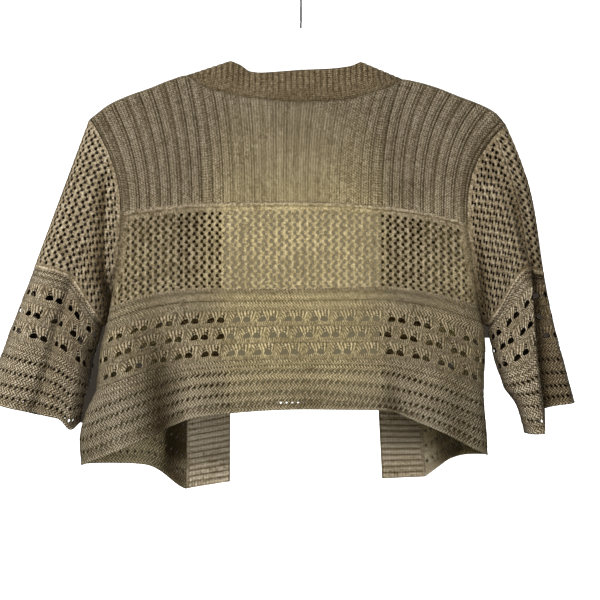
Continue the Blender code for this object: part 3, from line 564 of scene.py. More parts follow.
def cut_grid(field):
    """Marching squares. Returns kept corners, crossings with their shares, faces and rim edges."""
    def number(chosen, first):
        ids = np.full(chosen.shape, -1)
        ids[chosen] = first + np.arange(chosen.sum())
        return ids

    def shares(a, b):
        return np.clip(a / (a - b), CROSSING_MARGIN, 1 - CROSSING_MARGIN)

    keep = field > 0
    flat_cross, tall_cross = keep[:, :-1] != keep[:, 1:], keep[:-1] != keep[1:]
    corner_id, flat_id = number(keep, 0), number(flat_cross, keep.sum())
    tall_id = number(tall_cross, keep.sum() + flat_cross.sum())

    flat_share = shares(field[:, :-1][flat_cross], field[:, 1:][flat_cross])
    tall_share = shares(field[:-1][tall_cross], field[1:][tall_cross])
    ids = np.stack([corner_id[:-1, :-1], corner_id[:-1, 1:], corner_id[1:, 1:], corner_id[1:, :-1],
                    flat_id[:-1], tall_id[:, 1:], flat_id[1:], tall_id[:, :-1]])
    case = keep[:-1, :-1] * 1 + keep[:-1, 1:] * 2 + keep[1:, 1:] * 4 + keep[1:, :-1] * 8
    faces, rims = [], []
    for number, polygons in CELL_FACES.items():
        chosen = case == number
        if not chosen.any():
            continue
        for polygon in polygons:
            faces.append(ids[list(polygon)][:, chosen].T)
            for first, second in zip(polygon, polygon[1:] + polygon[:1]):
                if first > 3 and second > 3:
                    rims.append(ids[[first, second]][:, chosen].T)
    for line in (corner_id[0], corner_id[-1, ::-1], corner_id[::-1, 0], corner_id[:, -1]):
        pairs = np.stack([line[:-1], line[1:]], axis=1)
        rims.append(pairs[(pairs >= 0).all(axis=1)])
    return (keep, (flat_cross, flat_share), (tall_cross, tall_share)), faces, np.concatenate(rims)


def pick(values, kept):
    """Values of a grid at the kept corners and the crossings."""
    keep, (flat_cross, flat_share), (tall_cross, tall_share) = kept
    extra = (1,) * (values.ndim - 2)
    flat_share = flat_share.reshape(-1, *extra)
    tall_share = tall_share.reshape(-1, *extra)
    return np.concatenate([
        values[keep],
        mix(values[:, :-1][flat_cross], values[:, 1:][flat_cross], flat_share),
        mix(values[:-1][tall_cross], values[1:][tall_cross], tall_share)])


def fold_normals(points, normal):
    """Edges that lie on the middle plane thicken straight out, so that the halves close there."""
    edge = np.zeros(points.shape[:2], bool)
    edge[:, [0, -1]] = edge[[0, -1]] = True
    sideways = np.hypot(normal[..., 0], normal[..., 2])
    edge &= (np.abs(points[..., 1]) < SEAM_GAP) & (sideways > 0.5)
    normal[edge, 1] = 0
    normal[edge] /= sideways[edge][:, None]
    return normal


class Shell:
    """Collects the zones of one knitted piece and makes them into a mesh."""

    def __init__(self, name):
        self.name = name
        self.points, self.charts, self.kinds, self.tones, self.faces, self.count = [], [], [], [], [], 0

    def add(self, points, facing, relief, field, stitches, painted_tone, kind=0.0, inside=1.0):
        """points: grid in mm; relief in mm; field > 0 on cloth; stitches: chart in mm; then the painted shade
        and light for the outer face, and inside, its factor on the reverse.
        """
        normal = fold_normals(points, grid_normals(points, facing))
        thick = np.broadcast_to(relief, field.shape)
        outer = points + normal * (KNIT_OUTER + thick)[..., None]
        inner = points + normal * (KNIT_INNER + BACK_RELIEF * thick)[..., None]
        kept, faces, rims = cut_grid(field)
        chart = pick(np.concatenate([stitches, thick[..., None]], axis=-1), kept)
        total = len(chart)
        self.points += [pick(outer, kept), pick(inner, kept)]
        self.charts += [chart, chart]
        self.kinds.append(np.full(2 * total, kind))
        self.tones += [pick(np.broadcast_to(shade, field.shape), kept) for shade in (painted_tone, painted_tone * inside)]
        start = self.count
        forward = np.cross(points[1, 0] - points[0, 0], points[0, 1] - points[0, 0])
        turn = float(np.dot(forward, normal[0, 0])) > 0
        for block in faces:
            front = block if turn else block[:, ::-1]
            self.faces += [front + start, front[:, ::-1] + start + total]
        a, b = rims[:, 0] + start, rims[:, 1] + start
        rim = np.stack([a, b, b + total, a + total], axis=1)
        self.faces.append(rim[:, ::-1] if turn else rim)
        self.count += 2 * total

    def build(self, material, slot):
        place = world(np.concatenate(self.points))
        mesh = bpy.data.meshes.new(self.name)
        mesh.vertices.add(len(place))
        mesh.vertices.foreach_set("co", place.ravel())
        loops = np.concatenate([block.ravel() for block in self.faces])
        sizes = np.concatenate([np.full(len(block), block.shape[1]) for block in self.faces])
        mesh.loops.add(len(loops))
        mesh.loops.foreach_set("vertex_index", loops.astype(np.int32))
        mesh.polygons.add(len(sizes))
        mesh.polygons.foreach_set("loop_start", (np.cumsum(sizes) - sizes).astype(np.int32))
        mesh.polygons.foreach_set("use_smooth", np.ones(len(sizes), bool))
        mesh.update(calc_edges=True)
        # The tone attribute carries the painted shade and light
        for name, sort, key, blocks in (("stitch", "FLOAT_VECTOR", "vector", self.charts),
                                        ("kind", "FLOAT", "value", self.kinds),
                                        ("painted_tone", "FLOAT", "value", self.tones)):
            attribute = mesh.attributes.new(name, sort, "POINT")
            attribute.data.foreach_set(key, np.concatenate(blocks).astype(np.float32).ravel())
        mesh.materials.append(material)
        piece = add_object(self.name, mesh)
        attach(piece, "root")
        print("shell", self.name, int((sizes - 2).sum()), "triangles")
        return piece


# ---------------------------------------------------------------- knit patterns

RIB_REPEATS_BACK = 33.2
RIB_SAMPLES = (0.0, 0.06, 0.12, 0.3, 0.5, 0.6, 0.665, 0.71, 0.76, 0.81, 0.87, 0.94)
MESH_PITCH, MESH_ROW = 7.75, 4.0
MESH_HOLE = (1.75, 1.95)
MESH_ACROSS, MESH_STEP = 7, MESH_ROW / 3     # samples in a column, and mm between rows
MESH_SWAY = 1.35
MESH_SPAN = 43.5             # mm from one row of the tables to the next, in the mesh
MESH_FIRST, MESH_LAST, MESH_REACH = 10.5, 18, 88.2   # first line of holes, how many more, foot
SLEEVE_MESH_LAST, SLEEVE_MESH_FOOT = 60, 8.0         # the same for a sleeve, counted from its foot
MESH_CHART = (1.35, 1.17)    # one spot of the knit's pattern for all mesh threads, which are single strands
BORDER_LIGHT = 1.08          # the border looks this much lighter
NO_HOLE = 3.0                # mm to the nearest hole, where there is none
EYELET_PITCH = 5.35
BODY_HEM_WIDER, SLEEVE_HEM_WIDER = 1.08, 1.06        # than the row that the eyelets are counted on
EYELET_LINES = (5.0, 5.52, 6.0, 6.53)
EYELET_HALF, EYELET_SLANT = (1.2, 2.05), 0.45
# Levels of the border: ridges take 0-1, leaf rows 1-4, eyelets and hem 4-7
LACE_GROOVES, LACE_RIDGES = (0.1, 0.475), (0.0, 0.29, 0.7)
HEM_GROOVES, HEM_RIDGES = (4.5, 5.23, 5.75, 6.22, 6.72), (4.36, 4.66, 5.36, 5.87, 6.36)
HEM_ROLL = 6.84
LEAF_LINE = 1.52         # level of the first row's leaves; each row is one level further
LEAF_KIND = 0.65         # the leaves' share of the border's stitches, the rest is plain knit
CHART_STARTS = (0, 40, 90)       # mm, so that the three zones don't show the same stitches


def bump(value, width):
    return np.exp(-(value / width) ** 2)


def rib_relief(phase):
    """A wide and a narrow rib, with a thin groove on each side of the narrow one."""
    share = phase % 1.0
    groove = 0.7 * bump(np.minimum(np.abs(share - 0.71), 1 - np.abs(share - 0.71)), 0.045)
    groove = groove + 1.25 * bump(np.minimum(np.abs(share - 0.975), 1 - np.abs(share - 0.975)), 0.045)
    wide = np.clip(1 - np.abs(2 * (share - 0.34) / 0.72) ** 2, 0, 1)
    return 0.14 * wide - 0.78 * groove


def oval(x, y, half_x, half_y, power=2.0):
    """Rough distance outside an oval, in mm."""
    radius = (np.abs(x / half_x) ** power + np.abs(y / half_y) ** power) ** (1 / power)
    return (radius - 1.0) * min(half_x, half_y)


def mesh_rows(reader, levels, from_middle):
    """Rows of mesh points, with their places in mm; its columns hang straight down."""
    dense = np.linspace(0, 1, 721)
    rows, places = [], []
    for level in levels:
        line = reader(level, dense)
        run = run_along(line)
        rows.append(line)
        places.append(run - (np.interp(0.0, line[:, 0], run) if from_middle else 0.0))
    low, high = max(p[0] for p in places), min(p[-1] for p in places)
    step = MESH_PITCH / MESH_ACROSS
    low, high = (low + 9.0 if from_middle else low), high - 9.0
    middle = np.arange(math.ceil(low / step), math.floor(high / step) + 1) * step
    before = round((middle[0] - min(p[0] for p in places)) / step) if from_middle else 0
    after = round((max(p[-1] for p in places) - middle[-1]) / step)
    points, place = [], []
    for line, run in zip(rows, places):
        at = np.concatenate([np.linspace(run[0], middle[0], before + 1)[:-1], middle,
                             np.linspace(middle[-1], run[-1], after + 1)[1:]])
        if not from_middle:
            at[0] = run[0]
        points.append(read_line(at, run, line))
        place.append(at)
    return np.array(points), np.array(place)


def mesh_pattern(column, below, first, last, room):
    """Zigzag mesh: columns of holes that step left and right. below and room are in mm."""
    row = np.clip(np.round((below - first) / MESH_ROW), 0, last)
    sway = np.where(row % 2 == 0, 1.0, -1.0)
    off = (column % 1.0 - 0.5) * MESH_PITCH - sway * MESH_SWAY
    down = below - first - row * MESH_ROW
    field = oval(off, down, *MESH_HOLE, 1.8)
    plain = room < 0
    field = np.maximum(field, -room / 2)
    beat = (below - first) / MESH_ROW
    zigzag = MESH_SWAY * (4 * np.abs((beat / 2 + 0.5) % 1.0 - 0.5) - 1) * -1
    beside = np.abs((column % 1.0 - 0.5) * MESH_PITCH - zigzag)
    relief = 0.36 * bump(beside - MESH_PITCH / 2, 1.1) - 0.02 + 0.25 * bump(field - 0.8, 0.5)
    holes = (below > first - 3) & (below < first + last * MESH_ROW + 3)
    return np.where(holes & ~plain, relief, 0.1), field


# One leaf hole of a pair, in mm out from the pair's middle and down from its line: a dome
# with a flat foot, and the slits between the strands that fan over its outer side
LEAF_DOME = (5.0, 1.6, 4.0, 4.3, 1.2)
LEAF_SLITS = ((6.6, -4.1, 2.3), (7.2, -6.2, 2.0))
SLIT_HALF = 0.66
SLIT_SLOPE = math.radians(36)
LEAF_OUT = np.concatenate([[0.0, 0.8], np.linspace(1.5, 9.9, 13), [11.2, 12.6]]) / 12.6
LEAF_DOWN = np.concatenate([np.linspace(-7.5, 3.2, 16), [4.9, 6.6, 8.15]]) / 16.3


def leaf_field(out, down):
    """Half of a leaf pair: out is the distance from its middle, down from its line, in mm."""
    x0, y0, half, up, foot = LEAF_DOME
    tilt = 0.14 * (out - x0)
    y = down - y0 - tilt
    height = np.where(y < 0, up, foot)
    field = oval(out - x0, y / height * up, half, up, 2.2)
    for slit_x, slit_y, length in LEAF_SLITS:
        dx, dy = out - slit_x, down - slit_y
        run = dx * math.cos(SLIT_SLOPE) + dy * math.sin(SLIT_SLOPE)
        side = -dx * math.sin(SLIT_SLOPE) + dy * math.cos(SLIT_SLOPE) - 0.1 * run * run
        field = np.minimum(field, oval(run, side, length, SLIT_HALF))
    return field


def ridge_relief(level, unit, grooves, ridges):
    """Purl ridges and the grooves beside them, across the whole width."""
    relief = np.full(level.shape, 0.1)
    for line in grooves:
        relief = relief - 0.45 * bump((level - line) * unit, 0.7)
    for line in ridges:
        relief = relief + 0.2 * bump((level - line) * unit, 1.0)
    return relief


def leaf_band(place, band, phase, level, unit, cell, cells, keep_edges):
    """One row of leaf pairs. place counts cells across, level the rows of the border."""
    odd = (band + phase) % 2
    pair = 2 * np.round((place - odd) / 2) + odd
    out = np.abs(place - pair) * cell
    down = (level - LEAF_LINE - band) * unit
    field = leaf_field(out, down)
    if not keep_edges:
        field = np.where((pair < 0.5) | (pair > cells - 0.5), NO_HOLE, field)
    fan = 0.35 * np.cos((out - cell) * 2 * math.pi / (1.7 + 0.06 * np.clip(down, 0, 8)))
    strands = np.stack([(place - pair) * cell * 25 / (20 - down), down * 0.35], axis=-1)
    relief = 0.1 + 0.3 * bump(out, 1.1) * bump(down + 0.3, 3.0) + 0.16 * bump(field - 0.5, 0.5)
    return relief + fan * bump(out - cell, 4.0) * ease((down + 2) / 3), field, strands


def eyelet_pattern(share, level, width, unit, eyelets):
    """Four rows of slanting eyelets between purl ridges, down to a rolled hem."""
    field = np.full(share.shape, NO_HOLE)
    column = share * eyelets
    for line in EYELET_LINES:
        down = (level - line) * unit
        off = (column % 1.0 - 0.5) * width / eyelets + EYELET_SLANT * down
        field = np.minimum(field, oval(off, down, *EYELET_HALF))
    relief = ridge_relief(level, unit, HEM_GROOVES, HEM_RIDGES)
    relief = relief + 0.3 * bump(field - 0.9, 0.5) - 0.5 * bump(field - 0.1, 0.5)
    return relief + 0.3 * ease((level - HEM_ROLL) / 0.1), field


def keep_rim(field, share, width, strip):
    """Leaves a narrow plain strip along both edges."""
    edge = np.minimum(share, 1 - share) * width
    return np.where(edge < strip, np.maximum(field, 0.4), field)


def edge_shares(shares):
    inner = shares[(shares > 0.0008) & (shares < 0.9992)]
    return np.concatenate([[0.0], inner, [1.0]])


FOLD_SHADE = 0.055                                   # for each mm that a fold stands in or out
SEAM_SHADE, SEAM_REACH = (0.3, 0.42), (4.0, 8.0)     # high up and low down; reach in mm
VALLEY_SHADE, YOKE_SHADE = 0.22, 0.9
# Painted shade on the reverse of the sleeves and fronts, and painted light added to the fronts' reverse
# towards the foot
SLEEVE_INSIDE, FRONT_INSIDE, FRONT_FOOT = 0.22, 0.45, 0.85
UNDERARM_SHADE, UNDERARM_REACH = (0.35, 0.6), 10.0   # at the armhole and below it
FRONT_UNDERARM_SHADE, FRONT_UNDERARM_REACH = 0.85, 16.0
OVER_ARM_SHADE, OVER_ARM_REACH = 0.2, 5.0
# Painted shade on the right sleeve's far side, its crease, the groove beside the body, and its cap
FAR_SHADE, CREASE_SHADE, GROOVE_SHADE, CAP_SHADE = 0.68, 0.42, 0.55, 0.88


def body_tone(panel, closed_edges, points, shares):
    """Painted shade: darker in the folds, beside the seams and at the side rolls."""
    x, drop = points[..., 0], points[..., 2]
    width = lengths(points)[:, None]
    # painted light where a fold stands out and painted shade where it stands in, beside closed seams, in the
    # back's valley and over the yoke
    painted_tone = 1 + FOLD_SHADE * folds(panel, x, drop)
    low = ease((drop - 290) / 60)
    for closed, share in zip(closed_edges, (shares, 1 - shares)):
        away = share * width
        if closed:
            painted_tone = painted_tone * (1 - mix(*SEAM_SHADE, low) * bump(away, mix(*SEAM_REACH, low)))
    if panel == "back":
        valley = ease((x + 160) / 24) * (1 - ease((x + 125) / 12))
        painted_tone = painted_tone * (1 - VALLEY_SHADE * valley * ease((drop - 350) / 50))
        painted_tone = painted_tone * mix(YOKE_SHADE, 1.0, ease((drop - 210) / 12))
    return np.clip(painted_tone, 0.25, 1.25)


def inside_tone(panel, points):
    """Painted shade of the reverse, dark where it closes round the body or the arm."""
    if panel == "back":
        return 1.0
    if panel == "sleeve":
        return SLEEVE_INSIDE
    x, drop = points[..., 0], points[..., 2]
    beside = ease((163 - x) / 12) if panel == "front_right" else ease((-137 - x) / 4)
    foot = ease((drop - 464) / 18)
    return FRONT_INSIDE + FRONT_FOOT * np.maximum(ease((drop - 434) / 10) * beside, foot)


def sleeve_tone(side, face, points, rows, shares):
    """Painted shade for a sleeve: its fold or groove, and the underarm, which faces the body."""
    x = points[..., 0]
    width = lengths(points)[:, None]
    low = ease(rows / 1.5)
    from_underarm = (1 - shares) * width
    painted_tone = ((1 - mix(*UNDERARM_SHADE, low) * bump(from_underarm, UNDERARM_REACH))
            * (1 - OVER_ARM_SHADE * bump(shares * width, OVER_ARM_REACH)))
    if face == "front":
        return painted_tone * (1 - FRONT_UNDERARM_SHADE * bump(from_underarm, FRONT_UNDERARM_REACH))
    drop = points[..., 2]
    if side == "right":
        fold_x = 229.0 + 14.0 * np.clip((rows - 1) / 7, 0, 1) ** 1.3
        beyond = ease((x - fold_x) / 3.0) * ease(rows - 0.5)
        painted_tone = painted_tone * (1 - FAR_SHADE * beyond * mix(1.0, 0.5, ease((x - fold_x) / 22)))
        crease = (bump(x - 221 - 0.2 * (drop - 242), 6.5) * ease((drop - 175) / 50)
                  * (1 - ease((drop - 285) / 20)))
        beside = bump(x - 177 - 0.11 * (drop - 240), 5.0) * ease((drop - 225) / 60)
        painted_tone = painted_tone * (1 - CREASE_SHADE * crease) * (1 - GROOVE_SHADE * beside)
        painted_tone = painted_tone * mix(CAP_SHADE, 1.0, ease(rows - 0.4))
    else:
        painted_tone = painted_tone * (1 - 0.2 * bump(shares - 0.6, 0.1) * low)
        away = -196.5 + 5.0 * ease((drop - 285) / 25) - x
        crease = np.where(away > 0, bump(away, 10.0), 1 - ease(-away / 2.5))
        painted_tone = painted_tone * (1 - crease * (0.55 * ease((drop - 168) / 50) + 0.3 * ease((drop - 250) / 50)))
    return np.clip(painted_tone, 0.1, 1.25)


def add_border(panel, lace, border, reader, facing, tones, cells, phase, first_row, eyelet_rows,
               strip, keep_edges):
    """The three zones of the border: plain ridges, leaf rows, and eyelets with the hem.

    Level 0 is the row `first_row` of the panel. eyelet_rows is how many eyelets stand in a line.
    """
    def zone(shell, levels, shares, pattern, chart_start, kind=1.0):
        points, down, width = spread_levels(
            lambda level, across: reader(level + first_row, across), levels, shares)
        unit = np.gradient(down, axis=0) / np.gradient(levels)[:, None]
        share, level = shares + 0 * down, levels[:, None] + 0 * down
        relief, field, *strands = pattern(share, level, width, unit)
        field = keep_rim(field, share, width, strip)
        chart = strands[0] if strands else np.stack([share * width.mean(), down + chart_start], axis=-1)
        shell.add(off_middle(points, facing), facing, relief, field, chart,
                  BORDER_LIGHT * tones(points, level + first_row, share), kind, inside_tone(panel, points))

    zone(lace, np.linspace(-0.03, 1.02, 22), np.linspace(0, 1, cells * 6 + 1),
         lambda share, level, width, unit: (
             ridge_relief(level, unit, LACE_GROOVES, LACE_RIDGES), np.full(share.shape, NO_HOLE),
             np.stack([share * width, level * unit * 1.7], axis=-1)), CHART_STARTS[0])
    for band in range(3):
        odd = (band + phase) % 2
        centres = np.arange(odd - 2, cells + 3, 2)
        both = np.concatenate([centres[:, None] + LEAF_OUT, centres[:, None] - LEAF_OUT])
        places = np.unique(np.round(both, 5))
        shares = edge_shares(places / cells)
        levels = np.clip(LEAF_LINE + band + LEAF_DOWN, 0.99, 4.02)
        levels = np.concatenate([[1.0 + band - 0.01], levels])
        zone(lace, levels, shares,
             lambda share, level, width, unit, b=band: leaf_band(
                 share * cells, b, phase, level, unit, width / cells, cells, keep_edges),
             CHART_STARTS[1], LEAF_KIND)
    reach = [4.0]
    for line in EYELET_LINES:
        reach += list(line + np.linspace(-0.17, 0.17, 6))
    reach = np.concatenate([reach, np.linspace(4.0, 4.75, 9), [6.78, 6.85, 6.92, 7.0]])
    levels = np.unique(np.round(reach, 4))
    zone(border, levels, np.linspace(0, 1, eyelet_rows * 5 + 1),
         lambda share, level, width, unit: eyelet_pattern(share, level, width, unit, eyelet_rows),
         CHART_STARTS[2])


def spread_levels(reader, levels, shares):
    """A grid of points, how far down each column they lie, and each row's width."""
    points = np.stack([reader(level, shares) for level in levels])
    return points, run_along(points), lengths(points)[:, None]


def off_middle(points, facing):
    """Keeps the folds and side seams just off the middle plane."""
    points = points.copy()
    points[..., 1] = facing * np.maximum(facing * points[..., 1], SEAM_GAP / 2)
    return points


def fine_levels(levels, step):
    """Levels so spaced that rows are about `step` mm apart; levels are (level, mm) pairs."""
    out = []
    for (low, low_mm), (high, high_mm) in zip(levels, levels[1:]):
        count = max(1, round((high_mm - low_mm) / step))
        out.extend(np.linspace(low, high, count + 1)[:-1])
    out.append(levels[-1][0])
    return np.array(out)


def body_shells(name, reader, facing, ribs, rib_phase, cells, phase, edge_left, edge_right):
    """A body panel in three pieces: ribbed yoke with the mesh, leaf lace, and eyelet border."""
    panel = name[:-5]

    def tones(points, rows, shares):   # rows only matter on a sleeve
        return body_tone(panel, (True, facing < 0), points, shares)

    upper, lace, border = Shell(name), Shell(name + "_lace"), Shell(name + "_border")
    at = np.concatenate([k + np.array(RIB_SAMPLES) for k in range(-1, int(ribs) + 2)])
    shares = edge_shares((at - rib_phase) / ribs)
    levels = fine_levels(((0, 0), (0.05, 6), (0.97, 119)), 6.0)
    levels = np.concatenate([[0, 0.004, 0.012, 0.022, 0.034], levels[levels > 0.04], [0.99, 1.015, 1.03]])
    points, down, width = spread_levels(reader, levels, shares)
    relief = np.broadcast_to(rib_relief(shares * ribs + rib_phase), points.shape[:2]).copy()
    if panel == "back":
        relief *= mix(0.45, 1.0, ease((np.abs(points[..., 0]) - 50) / 45))
    relief += 0.35
    relief *= ease((1.03 - levels) / 0.02)[:, None]
    relief *= ease(np.minimum(shares, 1 - shares) * width / 2.0)
    chart = np.stack([shares * width.mean() + 0 * down, down], axis=-1)
    relief *= ease(0.3 + levels / 0.05)[:, None]
    upper.add(off_middle(points, facing), facing, relief, np.ones(points.shape[:2]), chart,
              tones(points, levels, shares), 0.0, inside_tone(panel, points))

    below = np.arange(MESH_FIRST - 8 * MESH_STEP, MESH_REACH, MESH_STEP)
    levels = 1.0 + np.concatenate([[-0.3], below]) / MESH_SPAN
    points, place = mesh_rows(reader, levels, panel == "back")
    width = place[:, -1:] - place[:, :1]
    below = ((levels - 1.0) * MESH_SPAN)[:, None] + 0 * place
    room = np.minimum(place - place[:, :1] - edge_left, place[:, -1:] - place - edge_right)
    relief, field = mesh_pattern(place / MESH_PITCH, below, MESH_FIRST, MESH_LAST, room)
    relief = (relief + 0.5 * bump(below - 1.7, 1.2) - 0.25 * bump(below - 3.7, 0.8)
              + 0.2 * bump(below - 6, 1.2))
    chart = np.broadcast_to(MESH_CHART, points.shape[:2] + (2,))
    upper.add(off_middle(points, facing), facing, relief, field, chart,
              tones(points, levels, (place - place[:, :1]) / width), 0.0, inside_tone(panel, points))

    eyelets = round(width[-1, 0] * BODY_HEM_WIDER / EYELET_PITCH)
    add_border(panel, lace, border, reader, facing, tones, cells, phase, 3.0, eyelets, 2.0, False)
    return upper, lace, border


# ---------------------------------------------------------------- sleeves

def ruled_places(target, heads, feet):
    """Where plane points lie on the straight lines from heads to feet: line share and run."""
    span = feet - heads
    lean = ((target[:, None, 0] - heads[None, :, 0]) * span[None, :, 1]
            - (target[:, None, 1] - heads[None, :, 1]) * span[None, :, 0])
    sign = np.sign(lean)
    change = sign[:, :-1] * sign[:, 1:] <= 0
    first = np.where(change.any(axis=1), change.argmax(axis=1),
                     np.abs(lean).argmin(axis=1).clip(max=len(heads) - 2))
    each = np.arange(len(target))
    a, b = lean[each, first], lean[each, first + 1]
    part = np.clip(np.where(np.abs(a - b) > 1e-9, a / (a - b + 1e-12), 0.0), 0, 1)
    share = (first + part) / (len(heads) - 1)
    head = mix(heads[first], heads[first + 1], part[:, None])
    foot = mix(feet[first], feet[first + 1], part[:, None])
    line = foot - head
    run = ((target - head) * line).sum(axis=1) / np.maximum((line ** 2).sum(axis=1), 1e-6)
    return share, run


def sleeve_head(shell, side, face, facing):
    """Mesh columns that run up beside the fold over the arm and end at the armhole."""
    dense = np.linspace(0, 1, 401)
    hole = sleeve_row(side, face, 0.0, dense)
    ring = sleeve_row(side, face, 1.0, dense)
    heads, feet = hole[:, [0, 2]], ring[:, [0, 2]]
    lean = heads[0] - feet[0]
    length = float(np.hypot(*lean))
    lean = lean / length
    width = float(lengths(ring))
    beside = float(np.hypot(*(heads[-1] - feet[-1])))
    columns = max(1, round((width + beside) / MESH_PITCH))
    shares = np.linspace(0, 1 + beside / width, columns * MESH_ACROSS + 1)
    at = np.append(dense, shares[-1])
    start = read_line(shares, at, np.vstack([feet, heads[-1]]))
    rise = np.arange(math.ceil(length / MESH_STEP) + 2, 0, -1) * MESH_STEP
    rise = np.concatenate([rise, [0.0, -0.8]])
    target = start[None] + rise[:, None, None] * lean
    share, run = ruled_places(target.reshape(-1, 2), heads, feet)
    share, run = (value.reshape(target.shape[:2]) for value in (share, run))
    stop = np.clip(run, 0, 1)
    hole_y = np.interp(share, dense, hole[:, 1])
    ring_y = np.interp(share, dense, ring[:, 1])
    y = mix(hole_y, ring_y, stop)
    y = y + facing * SLEEVE_SWELL * np.sin(math.pi * stop) * np.sin(math.pi * share) ** 1.5
    points = np.stack([target[..., 0] + sleeve_cap(side, stop, share), y, target[..., 1]], axis=-1)
    gap = np.hypot(target[..., 0][..., None] - heads[::4, 0], target[..., 1][..., None] - heads[::4, 1])
    trim = np.where(run > 0, 1.0, -1.0) * gap.min(axis=-1) + 0.15
    column = shares / shares[-1] * columns + 0 * y
    below = (length - rise)[:, None] + 0 * y
    first = length - SLEEVE_MESH_FOOT - SLEEVE_MESH_LAST * MESH_ROW
    relief, field = mesh_pattern(column, below, first, SLEEVE_MESH_LAST, np.full(y.shape, 9.0))
    foot = below > length - 5.5
    field = np.where(foot | (gap.min(axis=-1) < 3.2), 2.0, field)
    relief = np.where(foot, 0.1, relief) + 0.55 * bump(below - length + 2.5, 1.1)
    relief = relief - 0.45 * bump(below - length + 4.4, 0.8)
    cover = np.minimum(field, trim)
    chart = np.broadcast_to(MESH_CHART, y.shape + (2,))
    shell.add(off_middle(points, facing), facing, relief, cover, chart,
              sleeve_tone(side, face, points, stop, share), 0.0, inside_tone("sleeve", points))


def sleeve_shell(side, face):
    facing = -1 if face == "back" else 1
    shell = Shell("sleeve_" + side + "_" + face + "_knit")
    sleeve_head(shell, side, face, facing)

    reader, tones = partial(sleeve_row, side, face), partial(sleeve_tone, side, face)
    eyelets = round(lengths(reader(1.0, np.linspace(0, 1, 50))) * SLEEVE_HEM_WIDER / EYELET_PITCH)
    add_border("sleeve", shell, shell, reader, facing, tones, SLEEVE_CELLS, 1, 1.0, eyelets, 0.8, True)
    return shell


# ---------------------------------------------------------------- band

BAND_PITCH, BAND_WIDTH = 6.0, 42
BAND_SAMPLES = (0.0, 0.07, 0.2, 0.4, 0.6, 0.8, 0.93)
BAND_ACROSS = np.array([0.0, 0.03, 0.08, 0.2, 0.35, 0.5, 0.65, 0.8, 0.92, 0.97, 1.0])
# The left front, the neck and the right front: rib height in mm, tone (a painted shade where it is below 1),
# and how light the inside is painted above and below the hem arch: painted shade above, painted light below
# on the fronts
BAND_RUNS = ((1.1, 1.0, 0.4, 1.35), (0.75, 0.64, 0.6, 0.6), (1.1, 1.0, 0.4, 1.15))


def band_shell():
    """Round the neck and down both fronts, its ribs across it."""
    shell = Shell("band_knit")
    widths = BAND_ACROSS
    runs = ([band_front_line("left", width) for width in widths],
            [band_back_line(width) for width in widths],
            [band_front_line("right", width)[::-1] for width in widths])
    for index, (run, (height, painted_tone, inside_high, inside_low)) in enumerate(zip(runs, BAND_RUNS)):
        ribs = round(lengths(run[len(run) // 2]) / BAND_PITCH)
        at = np.array([k + s for k in range(ribs) for s in BAND_SAMPLES] + [ribs])
        points = np.stack([evenly(line, at / ribs) for line in run], axis=1)
        rib = np.clip(1 - np.abs(2 * (at % 1.0) - 1) ** 2.5, 0, 1)
        ribbed = ease((widths - 0.05) / 0.5) if index == 1 else ease((widths - 0.02) / 0.05)
        relief = -0.3 + height * mix(0.75, rib[:, None], ribbed) * ease((1.0 - widths) / 0.04)
        relief *= ease((widths - 0.01) / 0.04)
        chart = np.stack([widths * BAND_WIDTH + 0 * relief, (at * BAND_PITCH)[:, None] + 0 * relief],
                         axis=-1)
        facing = -1 if index == 1 else 1
        drop = points[..., 2]
        inside = mix(inside_high, inside_low, ease((drop - 417) / 8))
        # painted shade: the inside darker towards its foot
        inside = inside * (1.04 - 0.24 * ease((drop - 455) / 30))
        shell.add(off_middle(points, facing), facing, relief, np.ones(relief.shape), chart,
                  painted_tone, 0.0, inside)
    return shell


# ---------------------------------------------------------------- materials

def new_material(name):
    material = bpy.data.materials.new(name)
    material.use_nodes = True
    tree = material.node_tree
    return material, tree, tree.nodes["Principled BSDF"]


def node(tree, kind, **values):
    made = tree.nodes.new(kind)
    for key, value in values.items():
        setattr(made, key, value)
    return made


STRAND_LOW, STRAND_HIGH = 0.42, 1.55
WALE, COURSE = 2.7, 2.6              # mm, a stitch of plain knit
BONE_ACROSS, BONE_DOWN = 3.1, 6.2    # mm, the border's strands, which lean one way, then the other
HEATHER, PATCH, FUZZ, UNEVEN = 560.0, 34.0, 1900.0, 140.0     # noise scales, a metre
KNIT_COLOURS = ((0.0, (0.008, 0.004, 0.001)), (0.18, (0.06, 0.04, 0.017)), (0.42, (0.215, 0.167, 0.1)),
                (0.68, (0.47, 0.395, 0.275)), (1.0, (0.8, 0.72, 0.57)))   # from hollow to crest
# GLOW_HIGH and GLOW_LOW paint the translucent glow weaker by height
GLOW_HIGH, GLOW_LOW = 0.36, 0.6      # share of the glow at the yoke and hem, matched to the photo


def add_noise(tree, scale, detail=None):
    place, made = node(tree, "ShaderNodeTexCoord"), node(tree, "ShaderNodeTexNoise")
    made.inputs["Scale"].default_value = scale
    if detail is not None:
        made.inputs["Detail"].default_value = detail
    tree.links.new(place.outputs["Object"], made.inputs["Vector"])
    return made.outputs["Fac"]


def add_bump(tree, shader, height, strength, distance):
    raised = node(tree, "ShaderNodeBump")
    raised.inputs["Strength"].default_value = strength
    raised.inputs["Distance"].default_value = distance
    tree.links.new(height, raised.inputs["Height"])
    tree.links.new(raised.outputs["Normal"], shader.inputs["Normal"])


def add_ramp(tree, value, stops):
    """A colour ramp through (position, colour) stops."""
    ramp = node(tree, "ShaderNodeValToRGB")
    points = ramp.color_ramp.elements
    points[0].position, points[0].color = stops[0][0], (*stops[0][1], 1)
    points[1].position, points[1].color = stops[-1][0], (*stops[-1][1], 1)
    for at, colour in stops[1:-1]:
        points.new(at).color = (*colour, 1)
    tree.links.new(value, ramp.inputs[0])
    return ramp.outputs[0]


